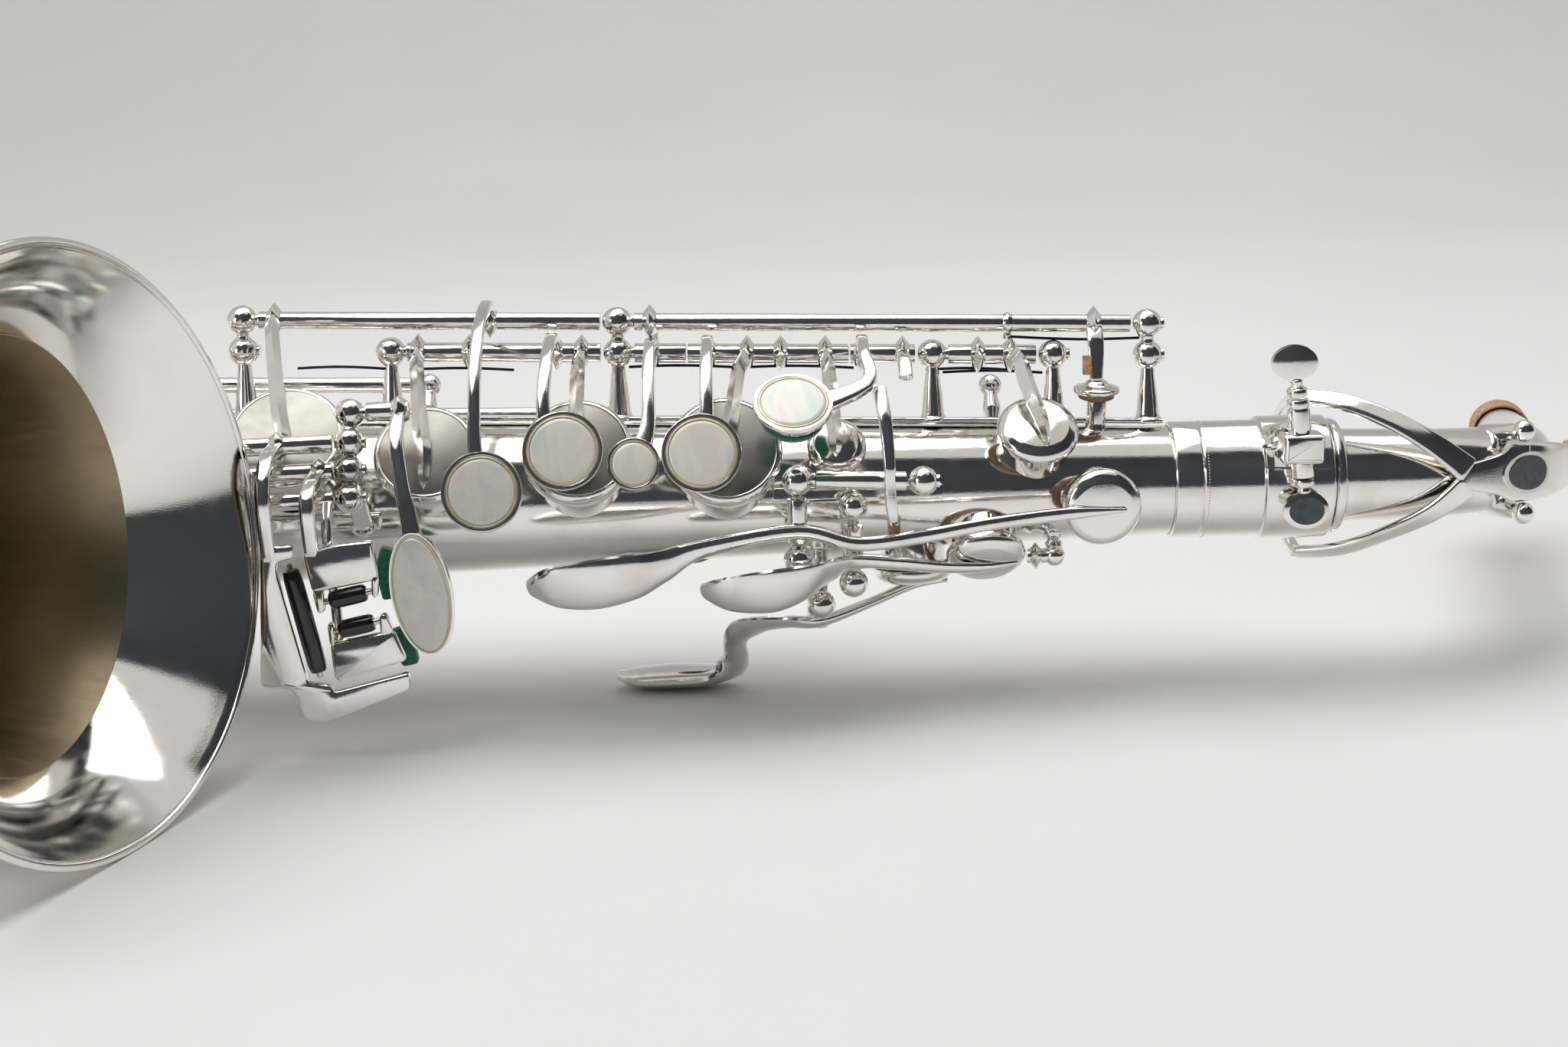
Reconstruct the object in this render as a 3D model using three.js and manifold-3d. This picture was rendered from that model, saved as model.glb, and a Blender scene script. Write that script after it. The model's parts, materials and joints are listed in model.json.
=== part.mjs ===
// Alto saxophone, lying on its left side: a conical body tube, bow and flared bell, a curved neck,
// and the keywork with its posts. Millimetres, +Z up. While the parts are made, X runs along the body
// towards the neck with 0 at the mouth of the neck receiver, and the body axis is the line Y = 0, Z = 0.
// Angles round the body are counted from the front (-Y) towards the top (+Z).
import * as THREE from 'three';
import { mergeVertices } from 'three/addons/utils/BufferGeometryUtils.js';
import Module from 'manifold-3d';

const wasm = await Module();
wasm.setup();

// ---- driving dimensions -------------------------------------------------------------------------
const ROLL = 8;                  // how far the lying instrument is rolled, so its bell looks slightly up
const TUBE_TOP = -39.5;           // upper end of the body tube
const TUBE_END = -455;           // lower end, where the bow starts
const TOP_RADIUS = 12.7;         // outer radius of the body tube at its upper end
const TAPER = 0.0288;            // growth of that radius per millimetre
const WALL = 0.8;                // sheet thickness of body, bow and bell
const TOUCH_GAP = 0.3;           // gap left between pieces that touch

const BOW_CENTRE_X = -465;       // centre of the bow's bend
const BOW_RADIUS = 37.5;         // radius of the bow's centre line
const BOW_TURN = 177;            // degrees the bow turns through
const BELL_RIM = { x: -266.1, out: 93.8, side: -0.5 };
const BELL_KNEE = { x: -308.9, out: 77.6, side: -3.3 };

const RIB_ANGLE = 98;            // the stack's rib and posts
const INNER_ROD = 16.4;          // height of the inner rod above the body
const OUTER_ROD = 23.6;          // height of the outer rod
const ROD_RADIUS = 2.3;
const POST_BALL = 3.5;
const CHIMNEY = 3.2;             // height of a tone hole's wall above the body
const CUP_DEPTH = 4.6;           // a key cup with its pad
const OPEN_LIFT = 3;             // how far an open cup stands off its tone hole
const SHUT_LIFT = 0.35;

const NECK_TURN = 75;            // bend of the neck, degrees
const NECK_BEND = 38;            // radius of that bend
const NECK_STRAIGHT = 14;        // straight start of the neck
const NECK_ANGLE = 187;          // where the neck points, round the body axis

// ---- materials ----------------------------------------------------------------------------------
const metal = (name, color, roughness) => new THREE.MeshStandardMaterial({ name, color, roughness, metalness: 1 });
const plain = (name, color, roughness) => new THREE.MeshStandardMaterial({ name, color, roughness, metalness: 0 });
const SILVER = metal('silver_plate', 0xd9d5cb, 0.14);
const PEARL = plain('mother_of_pearl', 0xe6e3d4, 0.22);
const BLACK = plain('black_roller', 0x0c0c0d, 0.2);
const CORK = plain('cork', 0xa9805a, 0.85);

// ---- places -------------------------------------------------------------------------------------
const V = (x, y, z) => new THREE.Vector3(x, y, z);
const rad = THREE.MathUtils.degToRad;
const ALONG = V(1, 0, 0);
const bodyRadius = (x) => TOP_RADIUS + TAPER * (TUBE_TOP - x);
const around = (x, r, deg) => V(x, -r * Math.cos(rad(deg)), r * Math.sin(rad(deg)));
const above = (x, height, deg) => around(x, bodyRadius(x) + height, deg);
const normalAt = (deg) => V(TAPER, -Math.cos(rad(deg)), Math.sin(rad(deg))).normalize();
const front = (x, out, side = 0) => around(x, out, ROLL).add(around(0, side, ROLL + 90));

// ---- shapes -------------------------------------------------------------------------------------
const turnTo = (geometry, direction, at, from = V(0, 1, 0)) => {
  const turn = new THREE.Quaternion().setFromUnitVectors(from, direction.clone().normalize());
  return geometry.applyQuaternion(turn).translate(at.x, at.y, at.z);
};
const cone = (a, b, ra, rb, sides = 6) => {
  const shape = new THREE.CylinderGeometry(rb, ra, a.distanceTo(b), sides);
  return turnTo(shape, b.clone().sub(a), a.clone().add(b).multiplyScalar(0.5));
};
const rod = (a, b, r, sides = 8) => cone(a, b, r, r, sides);
const ball = (at, r) => new THREE.SphereGeometry(r, 7, 4).translate(at.x, at.y, at.z);
const turned = (profile, at, direction, sides = 12) => {
  const points = profile.map(([r, h]) => new THREE.Vector2(r, h));
  return turnTo(new THREE.LatheGeometry(points, sides), direction, at);
};
const plate = (outline, thickness, at, facing, up) => {
  const shape = new THREE.Shape(outline.map(([u, v]) => new THREE.Vector2(u, v)));
  const solidPlate = new THREE.ExtrudeGeometry(shape, { depth: thickness, bevelEnabled: false });
  const n = facing.clone().normalize();
  const v = up.clone().addScaledVector(n, -up.dot(n)).normalize();
  const u = v.clone().cross(n);
  return solidPlate.applyMatrix4(new THREE.Matrix4().makeBasis(u, v, n).setPosition(at));
};

// A bar bent through the given points, with a half width across and a half thickness at each of them.
function bar(points, halfWidths, halfDepths, flat, sides = 6) {
  const size = (list, i) => (Array.isArray(list) ? list[i] : list);
  const corners = [];
  points.forEach((point, i) => {
    const before = points[Math.max(i - 1, 0)];
    const after = points[Math.min(i + 1, points.length - 1)];
    const ahead = after.clone().sub(before).normalize();
    const depth = (Array.isArray(flat) ? flat[i] : flat).clone();
    depth.addScaledVector(ahead, -depth.dot(ahead)).normalize();
    const width = ahead.clone().cross(depth);
    for (let k = 0; k < sides; k += 1) {
      const a = (2 * Math.PI * (k + 0.5)) / sides;
      corners.push(point.clone()
        .addScaledVector(width, size(halfWidths, i) * Math.cos(a))
        .addScaledVector(depth, size(halfDepths, i) * Math.sin(a)));
    }
  });
  const index = [];
  for (let i = 0; i + 1 < points.length; i += 1) {
    for (let k = 0; k < sides; k += 1) {
      const a = i * sides + k;
      const b = i * sides + ((k + 1) % sides);
      index.push(a, b + sides, b, a, a + sides, b + sides);
    }
  }
  const last = (points.length - 1) * sides;
  for (let k = 1; k + 1 < sides; k += 1) {
    index.push(0, k, k + 1, last, last + k + 1, last + k);
  }
  const shape = new THREE.BufferGeometry().setFromPoints(corners);
  shape.setIndex(index);
  return shape;
}

// A hollow or solid tube of changing radius along a list of centres, as rings of the same count.
function pipe(centres, radii, sides = 20) {
  return bar(centres, radii, radii, around(0, 1, ROLL + 90), sides);
}

// ---- solids: joining and cutting ----------------------------------------------------------------
function solid(shape) {
  const bare = shape.clone();
  bare.deleteAttribute('normal');
  bare.deleteAttribute('uv');
  const merged = mergeVertices(bare, 1e-4);
  const tri = [];
  for (let i = 0; i < merged.index.count; i += 3) {
    const [a, b, c] = [0, 1, 2].map((k) => merged.index.getX(i + k));
    if (a !== b && b !== c && a !== c) tri.push(a, b, c);
  }
  const vertProperties = new Float32Array(merged.attributes.position.array);
  return new wasm.Manifold(new wasm.Mesh({ numProp: 3, vertProperties, triVerts: new Uint32Array(tri) }));
}
function join(shapes) {
  return shapes.map(solid).reduce((whole, next) => whole.add(next));
}
function surface(whole) {
  const mesh = whole.getMesh();
  const shape = new THREE.BufferGeometry();
  shape.setAttribute('position', new THREE.BufferAttribute(new Float32Array(mesh.vertProperties), 3));
  shape.setIndex(new THREE.BufferAttribute(new Uint32Array(mesh.triVerts), 1));
  return shape;
}

const instrument = new THREE.Group();
const neck = new THREE.Group();
instrument.add(neck);

// Adds one named piece. Its own origin is the point it turns about, or the body axis, and `axis` is
// the direction of its hinge.
function piece(name, shapes, material = SILVER, { pivot = V(0, 0, 0), axis, cuts = [], parent = instrument } = {}) {
  let whole = join(shapes);
  if (cuts.length) whole = whole.subtract(join(cuts));
  const shape = surface(whole).translate(-pivot.x, -pivot.y, -pivot.z);
  shape.computeVertexNormals();
  const mesh = new THREE.Mesh(shape, material);
  mesh.name = name;
  mesh.position.copy(pivot);
  if (axis) mesh.userData.axis = axis.clone().normalize().toArray();
  parent.add(mesh);
  return mesh;
}

// ---- tone holes ---------------------------------------------------------------------------------
const HOLES = {
  high_e: { x: -72, deg: 51, r: 7.6, wall: 3.6 },
  palm_d: { x: -58, deg: -5, r: 7.2 },
  palm_e_flat: { x: -84, deg: -44, r: 7.4 },
  palm_f: { x: -100, deg: -84, r: 7.6 },
  vent: { x: -118, deg: 37, r: 5 },
  b: { x: -143, deg: 34, r: 11.2 },
  c: { x: -176, deg: 35, r: 10.8 },
  g_sharp: { x: -210, deg: 37, r: 10.2 },
  g: { x: -241, deg: 44, r: 11.6 },
  side_c: { x: -152, deg: 172, r: 8 },
  side_b_flat: { x: -186, deg: 172, r: 8.6 },
  f_sharp: { x: -284, deg: 60, r: 10.3 },
  f: { x: -315, deg: 60, r: 10.9 },
  e: { x: -348, deg: 60, r: 11.5 },
  d: { x: -383, deg: 60, r: 12.1 },
  c_sharp: { x: -428, deg: -92, r: 12.4 },
  e_flat: { x: -430, deg: 152, r: 12.6 },
};
const PIP = { x: -57, deg: 88, r: 2.3, height: 6.2 };    // the body's octave vent
const wallOf = (hole) => hole.wall ?? CHIMNEY;
const holeWall = (hole) => rod(around(hole.x, bodyRadius(hole.x) * 0.8, hole.deg),
  above(hole.x, 0, hole.deg).addScaledVector(normalAt(hole.deg), wallOf(hole)), hole.r, 8);
const holeBore = (hole) => rod(around(hole.x, bodyRadius(hole.x) * 0.5, hole.deg),
  above(hole.x, wallOf(hole) + 2, hole.deg), hole.r - 0.9, 8);

// A key cup over a hole, its underside `lift` above the hole's wall.
const CUP_LIP = 1.7;
function cup(hole, lift, sides = 12) {
  const r = hole.r + CUP_LIP;
  const seat = above(hole.x, 0, hole.deg).addScaledVector(normalAt(hole.deg), wallOf(hole) + lift);
  const profile = [[0, 0], [r, 0.3], [r, 3.5], [0, CUP_DEPTH]];
  return turned(profile, seat, normalAt(hole.deg), sides);
}
const cupTop = (hole, lift) => bodyRadius(hole.x) + wallOf(hole) + lift + CUP_DEPTH;

// ---- body tube, bow and bell --------------------------------------------------------------------
function bodyTube() {
  const shell = cone(V(TUBE_END, 0, 0), V(TUBE_TOP, 0, 0), bodyRadius(TUBE_END), TOP_RADIUS, 20);
  const bore = cone(V(TUBE_END - 1, 0, 0), V(TUBE_TOP + 1, 0, 0), bodyRadius(TUBE_END) - WALL, TOP_RADIUS - WALL, 20);
  const holes = Object.values(HOLES);
  const pip = rod(above(PIP.x, -1, PIP.deg), above(PIP.x, PIP.height, PIP.deg), PIP.r);
  const pipBore = rod(above(PIP.x, -3, PIP.deg), above(PIP.x, PIP.height + 2, PIP.deg), 1, 6);
  return piece('body_tube', [shell, ...holes.map(holeWall), pip], SILVER,
    { cuts: [bore, ...holes.map(holeBore), pipBore] });
}

const bowCentre = (deg) => front(BOW_CENTRE_X - BOW_RADIUS * Math.sin(rad(deg)),
  BOW_RADIUS - BOW_RADIUS * Math.cos(rad(deg)));
const BOW_IN = 25.1;
const BOW_OUT = 29.7;
const bowRadius = (deg) => BOW_IN + (BOW_OUT - BOW_IN) * (deg / BOW_TURN);
const BOW_STEPS = 10;

function bow() {
  const turn = Array.from({ length: BOW_STEPS + 1 }, (_, i) => (i * BOW_TURN) / BOW_STEPS);
  const start = front(TUBE_END - TOUCH_GAP, 0);
  const centres = [start, ...turn.map(bowCentre)];
  const radii = [BOW_IN, ...turn.map(bowRadius)];
  const inside = [start.clone().add(V(1, 0, 0)), ...turn.map(bowCentre)];
  const out = bellPath.getTangentAt(0);
  const end = bowCentre(BOW_TURN).addScaledVector(out, 1);
  centres.push(end);
  radii.push(BOW_OUT);
  const past = end.clone().addScaledVector(out, 1);
  const hollow = pipe([...inside, end, past], [...radii, BOW_OUT].map((r) => r - WALL));
  return piece('bow', [pipe(centres, radii)], SILVER, { cuts: [hollow] });
}

// The bell's centre line: a smooth curve from the bow to the rim.
const bellPath = new THREE.QuadraticBezierCurve3(
  bowCentre(BOW_TURN).add(V(1 + 2 * TOUCH_GAP, 0, 0)),
  front(BELL_KNEE.x, BELL_KNEE.out, BELL_KNEE.side),
  front(BELL_RIM.x, BELL_RIM.out, BELL_RIM.side),
);
const bellLength = bellPath.getLength();
const BELL_THROAT = 29.4;                        // radius deep in the bell
const FLARE = { rise: 21.1, length: 12.5 };      // the steep part at the mouth
const CONE_PART = { rise: 10, length: 75 };      // the slow widening below it
// Radius of the bell against the distance from its rim.
function bellRadius(fromRim) {
  const flare = FLARE.rise * Math.exp(-fromRim / FLARE.length);
  return BELL_THROAT + flare + CONE_PART.rise * Math.exp(-fromRim / CONE_PART.length);
}
const BELL_STEPS = [0, 0.01, 0.3, 0.55, 0.72, 0.82, 0.88, 0.92, 0.95, 0.975, 1];
function bellRings(offset, from = 0) {
  const centres = [];
  const radii = [];
  BELL_STEPS.slice(from).forEach((u) => {
    centres.push(bellPath.getPointAt(u));
    radii.push(bellRadius((1 - u) * bellLength) - offset);
  });
  return { centres, radii };
}
function bell() {
  const outer = bellRings(0);
  const inner = bellRings(1);
  const mouth = bellPath.getTangentAt(1);
  inner.centres.unshift(inner.centres[0].clone().add(V(-1, 0, 0)));
  inner.radii.unshift(inner.radii[0]);
  inner.centres.push(inner.centres.at(-1).clone().addScaledVector(mouth, 2));
  inner.radii.push(inner.radii.at(-1) + 1.5);
  return piece('bell', [pipe(outer.centres, outer.radii, 24), ...BELL_HOLES.map(bellWall)], SILVER,
    { cuts: [pipe(inner.centres, inner.radii, 24), ...BELL_HOLES.map(bellBore)] });
}

// Two tone holes on the upper side of the bell.
const BELL_HOLES = [{ u: 0.16, r: 14 }, { u: 0.42, r: 14.6 }];
function bellSeat(hole, lift) {
  const at = bellPath.getPointAt(hole.u);
  const ahead = bellPath.getTangentAt(hole.u);
  const up = around(0, 1, ROLL + 90);
  const n = up.addScaledVector(ahead, -up.dot(ahead)).normalize();
  const r = bellRadius((1 - hole.u) * bellLength);
  return { n, at: at.clone().addScaledVector(n, r + lift) };
}
function bellWall(hole) {
  return rod(bellSeat(hole, -6).at, bellSeat(hole, CHIMNEY).at, hole.r, 10);
}
function bellBore(hole) {
  return rod(bellSeat(hole, -14).at, bellSeat(hole, CHIMNEY + 2).at, hole.r - 0.9, 10);
}
function bellCup(hole) {
  const r = hole.r + CUP_LIP;
  const { at, n } = bellSeat(hole, CHIMNEY + OPEN_LIFT + 1);
  return turned([[0, 0], [r, 0.4], [r, 3.4], [0, CUP_DEPTH]], at, n, 14);
}

function bowRing() {
  const ring = [[25.6, 0], [28, 0.5], [28.6, 3], [28, 5.5], [25.6, 6], [25.6, 0]];
  const body = turned(ring, V(TUBE_END - 3, 0, 0), ALONG, 24);
  return piece('bow_ring', [body]);
}

// ---- posts and ribs -----------------------------------------------------------------------------
// A turned post: a wide foot, a slim stem and one ball for each rod it carries.
function post(x, deg, heights, footRadius = 3.4, ballRadius = POST_BALL) {
  const foot = above(x, 1.2, deg);
  const shapes = [cone(foot, above(x, heights[0] - 1, deg), footRadius, 1.9)];
  heights.forEach((height) => shapes.push(ball(above(x, height, deg), ballRadius)));
  if (heights.length > 1) {
    shapes.push(rod(above(x, heights[0], deg), above(x, heights.at(-1), deg), 1.7, 6));
  }
  return shapes;
}
function strip(x0, x1, deg, halfWidth, thickness = 1.3) {
  const lift = 0.5;
  return bar([above(x0, lift + thickness / 2, deg), above(x1, lift + thickness / 2, deg)],
    halfWidth * 1.4, thickness * 0.7, normalAt(deg), 4);
}

const UPPER_POSTS = [-254.5, -167.6, -44.5];
function upperRib() {
  const shapes = [strip(-260, -41.6, RIB_ANGLE, 4)];
  UPPER_POSTS.forEach((x) => shapes.push(...post(x, RIB_ANGLE, [INNER_ROD, OUTER_ROD])));
  [-220.4, -94.6, -66.5].forEach((x) => shapes.push(...post(x, RIB_ANGLE, [INNER_ROD])));
  const pipHole = rod(above(PIP.x, -1, PIP.deg), above(PIP.x, 8, PIP.deg), PIP.r + 2 * TOUCH_GAP);
  return piece('upper_stack_rib', shapes, SILVER, { cuts: [pipHole] });
}
const LOWER_POSTS = [-268.5, -300.5, -366, -400];
function lowerRib() {
  const shapes = [strip(-406, -264, RIB_ANGLE, 2.2)];
  LOWER_POSTS.forEach((x) => shapes.push(...post(x, RIB_ANGLE, [INNER_ROD])));
  shapes.push(strip(-450.5, -402, LOW_ROD.deg - 7, 4));
  LOW_POSTS.forEach((x) => shapes.push(...post(x, LOW_ROD.deg, [LOW_ROD.height])));
  return piece('lower_stack_rib', shapes);
}

const LOW_ROD = { deg: 112, height: 15 };      // little finger keys of the right hand
const LOW_POSTS = [-412.6, -449];
const SIDE_RODS = {
  high_e: { deg: 128, height: 12, posts: [-348, -214, -80] },
  b_flat: { deg: 145, height: 9, posts: [-354, -170] },
  c: { deg: 160, height: 15, posts: [-360, -136] },
};
const SIDE_RIB = 128;
const sideAt = ({ deg, height }, x) => above(x, height, deg);
function sideRib() {
  const shapes = [strip(-364, -76, SIDE_RIB, 2.4)];
  Object.values(SIDE_RODS).forEach((rodLine) => rodLine.posts.forEach((x) => {
    shapes.push(cone(above(x, 1, SIDE_RIB), above(x, 3, SIDE_RIB), 2.2, 1.9));
    shapes.push(cone(above(x, 2.6, SIDE_RIB), sideAt(rodLine, x), 1.9, 1.6), ball(sideAt(rodLine, x), 2.8));
  }));
  return piece('side_key_rib', shapes);
}

// ---- stack keys ---------------------------------------------------------------------------------
const rodAt = (x, height = INNER_ROD, deg = RIB_ANGLE) => above(x, height, deg);
const rodAxis = (deg = RIB_ANGLE) => V(1, TAPER * Math.cos(rad(deg)), -TAPER * Math.sin(rad(deg)));
const onRod = (x, height = INNER_ROD, deg = RIB_ANGLE) => ({ pivot: rodAt(x, height, deg), axis: rodAxis(deg) });
const keyTube = (x0, x1, height = INNER_ROD, deg = RIB_ANGLE, r = ROD_RADIUS) =>
  rod(rodAt(x0, height, deg), rodAt(x1, height, deg), r);
// An arm that leaves a rod and runs round the body: each step is [angle, distance from the axis].
function arm(x, steps, halfWidth = 1.5, halfDepth = 1.4, shift = 0) {
  const points = steps.map(([deg, r], i) => around(x + (shift * i) / (steps.length - 1), r, deg));
  const flats = steps.map(([deg]) => normalAt(deg));
  return bar(points, halfWidth, halfDepth, flats);
}
function cupArm(x, hole, lift, { height = INNER_ROD, deg = RIB_ANGLE, beyond = 14 } = {}) {
  const top = cupTop(hole, lift) + 0.4;
  const start = bodyRadius(x) + height;
  const side = Math.sign(hole.deg - deg);
  const gap = Math.abs(hole.deg - deg);
  return arm(x, [
    [deg, start],
    [deg + side * gap * 0.3, Math.max(start, top) - 0.5],
    [hole.deg - side * 12, top + 1.3],
    [hole.deg + side * beyond, top + 0.2],
  ], 1.5, 1.3, hole.x - x);
}
const HOLDER = [[0, -2.6], [8.4, -0.4], [8.9, 1.8], [7.7, 1.8], [7.6, 0.4], [0, 0.4]];
const holder = (at, n, scale = 1) => turned(HOLDER.map(([r, h]) => [r * scale, h]), at, n, 12);
function pearl(name, at, n, scale, pivot) {
  const r = 7.25 * scale;
  const disc = turned([[0, 0.75], [r, 0.75], [r, 2.1], [0, 2.3]], at, n);
  return piece(name, [disc], PEARL, { pivot });
}

// The touches of the left hand: centre, the way they face, and size against a full-size pearl.
const TOUCH = {
  front_f: { at: V(-127.4, -29.5, 25.2), deg: 55, scale: 1 },
  b: { at: V(-147.6, -32.5, 15.9), deg: 24, scale: 1 },
  bis: { at: V(-162.6, -31.5, 13.7), deg: 22, scale: 0.66 },
  c: { at: V(-177.8, -33, 17.3), deg: 24, scale: 1 },
  g: { at: V(-195.2, -38.5, 10), deg: 16, scale: 1 },
  f: { at: above(-322, 24, 64), deg: 70, scale: 1 },
  e: { at: above(-349, 24, 64), deg: 70, scale: 1 },
  d: { at: above(-377, 24, 64), deg: 70, scale: 1 },
};
const holderOf = ({ at, deg, scale }) => holder(at, normalAt(deg), scale);
function touchArm(x, touch, height, steps) {
  const start = bodyRadius(x) + height;
  const back = touch.at.clone().addScaledVector(normalAt(touch.deg), -1.6);
  const path = [rodAt(x, height), ...steps.map(([deg, r]) => around(x, r, deg)), back];
  const flats = path.map((p) => V(0, p.y, p.z).normalize());
  path[0] = around(x, start, RIB_ANGLE);
  return bar(path, 1.5, 1.2, flats);
}

function leftHandStack() {
  piece('b_key', [
    keyTube(-151.4, -114), cup(HOLES.b, OPEN_LIFT), cup(HOLES.vent, OPEN_LIFT, 10),
    cupArm(-137.6, HOLES.b, OPEN_LIFT), cupArm(-119.5, HOLES.vent, OPEN_LIFT, { beyond: 8 }),
    holderOf(TOUCH.b), touchArm(-146.5, TOUCH.b, INNER_ROD, [[84, 36.5], [60, 38], [40, 36]]),
  ], SILVER, onRod(-132));
  pearl('b_pearl', TOUCH.b.at, normalAt(TOUCH.b.deg), 1, rodAt(-132));

  piece('bis_key', [
    keyTube(-163.7, -151.8), holderOf(TOUCH.bis),
    touchArm(-159.6, TOUCH.bis, INNER_ROD, [[84, 36], [62, 34.5], [40, 32]]),
  ], SILVER, onRod(-158));
  pearl('bis_pearl', TOUCH.bis.at, normalAt(TOUCH.bis.deg), TOUCH.bis.scale, rodAt(-158));

  piece('c_key', [
    keyTube(-199.4, -171.5), cup(HOLES.c, OPEN_LIFT), cupArm(-176, HOLES.c, OPEN_LIFT),
    holderOf(TOUCH.c), touchArm(-182, TOUCH.c, INNER_ROD, [[84, 38], [60, 39.5], [40, 37.5]]),
  ], SILVER, onRod(-185));
  pearl('c_pearl', TOUCH.c.at, normalAt(TOUCH.c.deg), 1, rodAt(-185));

  piece('front_f_key', [
    keyTube(-113.6, -98.6), holderOf(TOUCH.front_f),
    touchArm(-111.2, TOUCH.front_f, INNER_ROD, [[86, 35.5], [66, 37.5], [50, 37.5]]),
    arm(-101.5, [[98, 30.8], [84, 31], [70, 29.6]], 1.6, 0.9),
  ], SILVER, onRod(-106));
  pearl('front_f_pearl', TOUCH.front_f.at, normalAt(TOUCH.front_f.deg), 1, rodAt(-106));

  piece('g_sharp_key', [
    keyTube(-216.5, -199.8), cup(HOLES.g_sharp, SHUT_LIFT), cupArm(-214, HOLES.g_sharp, SHUT_LIFT, { beyond: 26 }),
  ], SILVER, onRod(-208));

  piece('g_key', [
    keyTube(-250.6, -171.5, OUTER_ROD, RIB_ANGLE, 2.1), cup(HOLES.g, OPEN_LIFT),
    cupArm(-247, HOLES.g, OPEN_LIFT, { height: OUTER_ROD }),
    holderOf(TOUCH.g),
    touchArm(-197, TOUCH.g, OUTER_ROD, [[90, 45], [66, 44.5], [44, 41], [28, 37]]),
  ], SILVER, onRod(-212, OUTER_ROD));
  pearl('g_pearl', TOUCH.g.at, normalAt(TOUCH.g.deg), 1, rodAt(-212, OUTER_ROD));
}

// The G sharp lever: an oval touch beside the table, hung from the top of the table's post.
const OVAL = { at: V(-208.6, -43.4, -10.6), half: [6, 12.6], lean: 7 };
function oval(scale, thickness, lift) {
  const shape = new THREE.Shape();
  shape.absellipse(0, 0, OVAL.half[0] * scale, OVAL.half[1] * scale, 0, 2 * Math.PI, false, rad(OVAL.lean));
  const disc = new THREE.ExtrudeGeometry(shape, { depth: thickness, bevelEnabled: false, curveSegments: 9 });
  const facing = V(0, -1, 0);
  return disc.applyMatrix4(new THREE.Matrix4().makeBasis(ALONG, V(0, 0, 1), facing)
    .setPosition(OVAL.at.clone().addScaledVector(facing, lift)));
}
function gSharpLever() {
  const pivot = leftAt('g_sharp', -217);
  piece('g_sharp_lever', [
    rod(leftAt('g_sharp', -221.2), leftAt('g_sharp', -212), 2.2), oval(1.1, 1.8, 0),
    bar([leftAt('g_sharp', -214), V(-214, -33, 22), V(-212.6, -38.6, 13), V(-210.6, -41.6, 3), V(-209.4, -42.6, -6)],
      [1.5, 1.6, 1.7, 2, 3], 1.2, V(0, -1, 0.4)),
  ], SILVER, { pivot, axis: LEFT_AXIS });
  piece('g_sharp_pearl', [oval(1, 1.4, 1.8 + TOUCH_GAP)], PEARL, { pivot });
}

// The link that carries the front F touch's push over to the palm levers.
const LINK_RODS = [V(-126.5, -28, 8.6), V(-98.9, -28, 7.6)];
function frontFLink() {
  const at = (x) => LINK_RODS[0].clone().lerp(LINK_RODS[1], (x - LINK_RODS[0].x) / (LINK_RODS[1].x - LINK_RODS[0].x));
  const x = -106.5;
  piece('front_f_link', [
    rod(at(-122.7), at(-102.7), 2.1),
    bar([V(x - 1.6, -21.6, 27.2), V(x - 0.6, -27.6, 21), V(x, -31, 12), at(x).add(V(0, -2.4, 0)),
      V(x + 0.4, -30.6, 2), V(x + 0.8, -28.6, -1)],
    [1.6, 1.5, 1.3, 1.3, 1.3, 1.2], [1, 1.1, 1.2, 1.4, 1.4, 1.6], V(0, -1, 0.2)),
  ], SILVER, { pivot: at(-112), axis: LINK_RODS[1].clone().sub(LINK_RODS[0]) });
}

// ---- octave mechanism ---------------------------------------------------------------------------
function octaveKeys() {
  const seat = above(PIP.x, PIP.height + 0.4, PIP.deg);
  piece('body_octave_key', [
    keyTube(-163.6, -48.5, OUTER_ROD, RIB_ANGLE, 2.1),
    turned([[0, 0], [5, 0], [5.4, 0.6], [5.4, 2.6], [3, 3.4], [2.2, 4.4], [0, 4.6]], seat, normalAt(PIP.deg)),
    bar([rodAt(PIP.x, OUTER_ROD), above(PIP.x, 19, 91), above(PIP.x, 10.5, PIP.deg)], [2, 1.9, 1.6], 1.1,
      V(0, -1, 0.2)),
    bar([rodAt(-160, OUTER_ROD), above(-160, 24, 112), above(-160, 19, 128)], 1.4, 1.2,
      [normalAt(100), normalAt(112), normalAt(128)]),
  ], SILVER, onRod(-105, OUTER_ROD));

  const hinge = { deg: 162, height: 8 };
  const lever = (x, height, deg) => above(x, height, deg);
  piece('octave_thumb_lever', [
    rod(lever(-128, hinge.height, hinge.deg), lever(-46, hinge.height, hinge.deg), 2, 10),
    bar([lever(-126, 8, 162), lever(-127, 12.5, 178), lever(-129, 13.5, 198), lever(-131, 12, 222)],
      [1.8, 4, 6.5, 4], 1.1, [170, 178, 198, 216].map(normalAt), 8),
    bar([lever(-48, 8, 162), lever(-40, 8.5, 170), lever(-28, 8.2, 178), lever(-17, 8.4, 180)], 1.4, 1.2,
      [162, 170, 178, 180].map(normalAt)),
  ], SILVER, onRod(-88, hinge.height, hinge.deg));
  piece('thumb_rest', [
    turned([[0, 0.5], [6, 0.5], [7.6, 3], [7.2, 5], [5, 6.2], [0, 6.8]], above(-152, 0, 226), normalAt(226)),
  ], BLACK);
}

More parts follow.
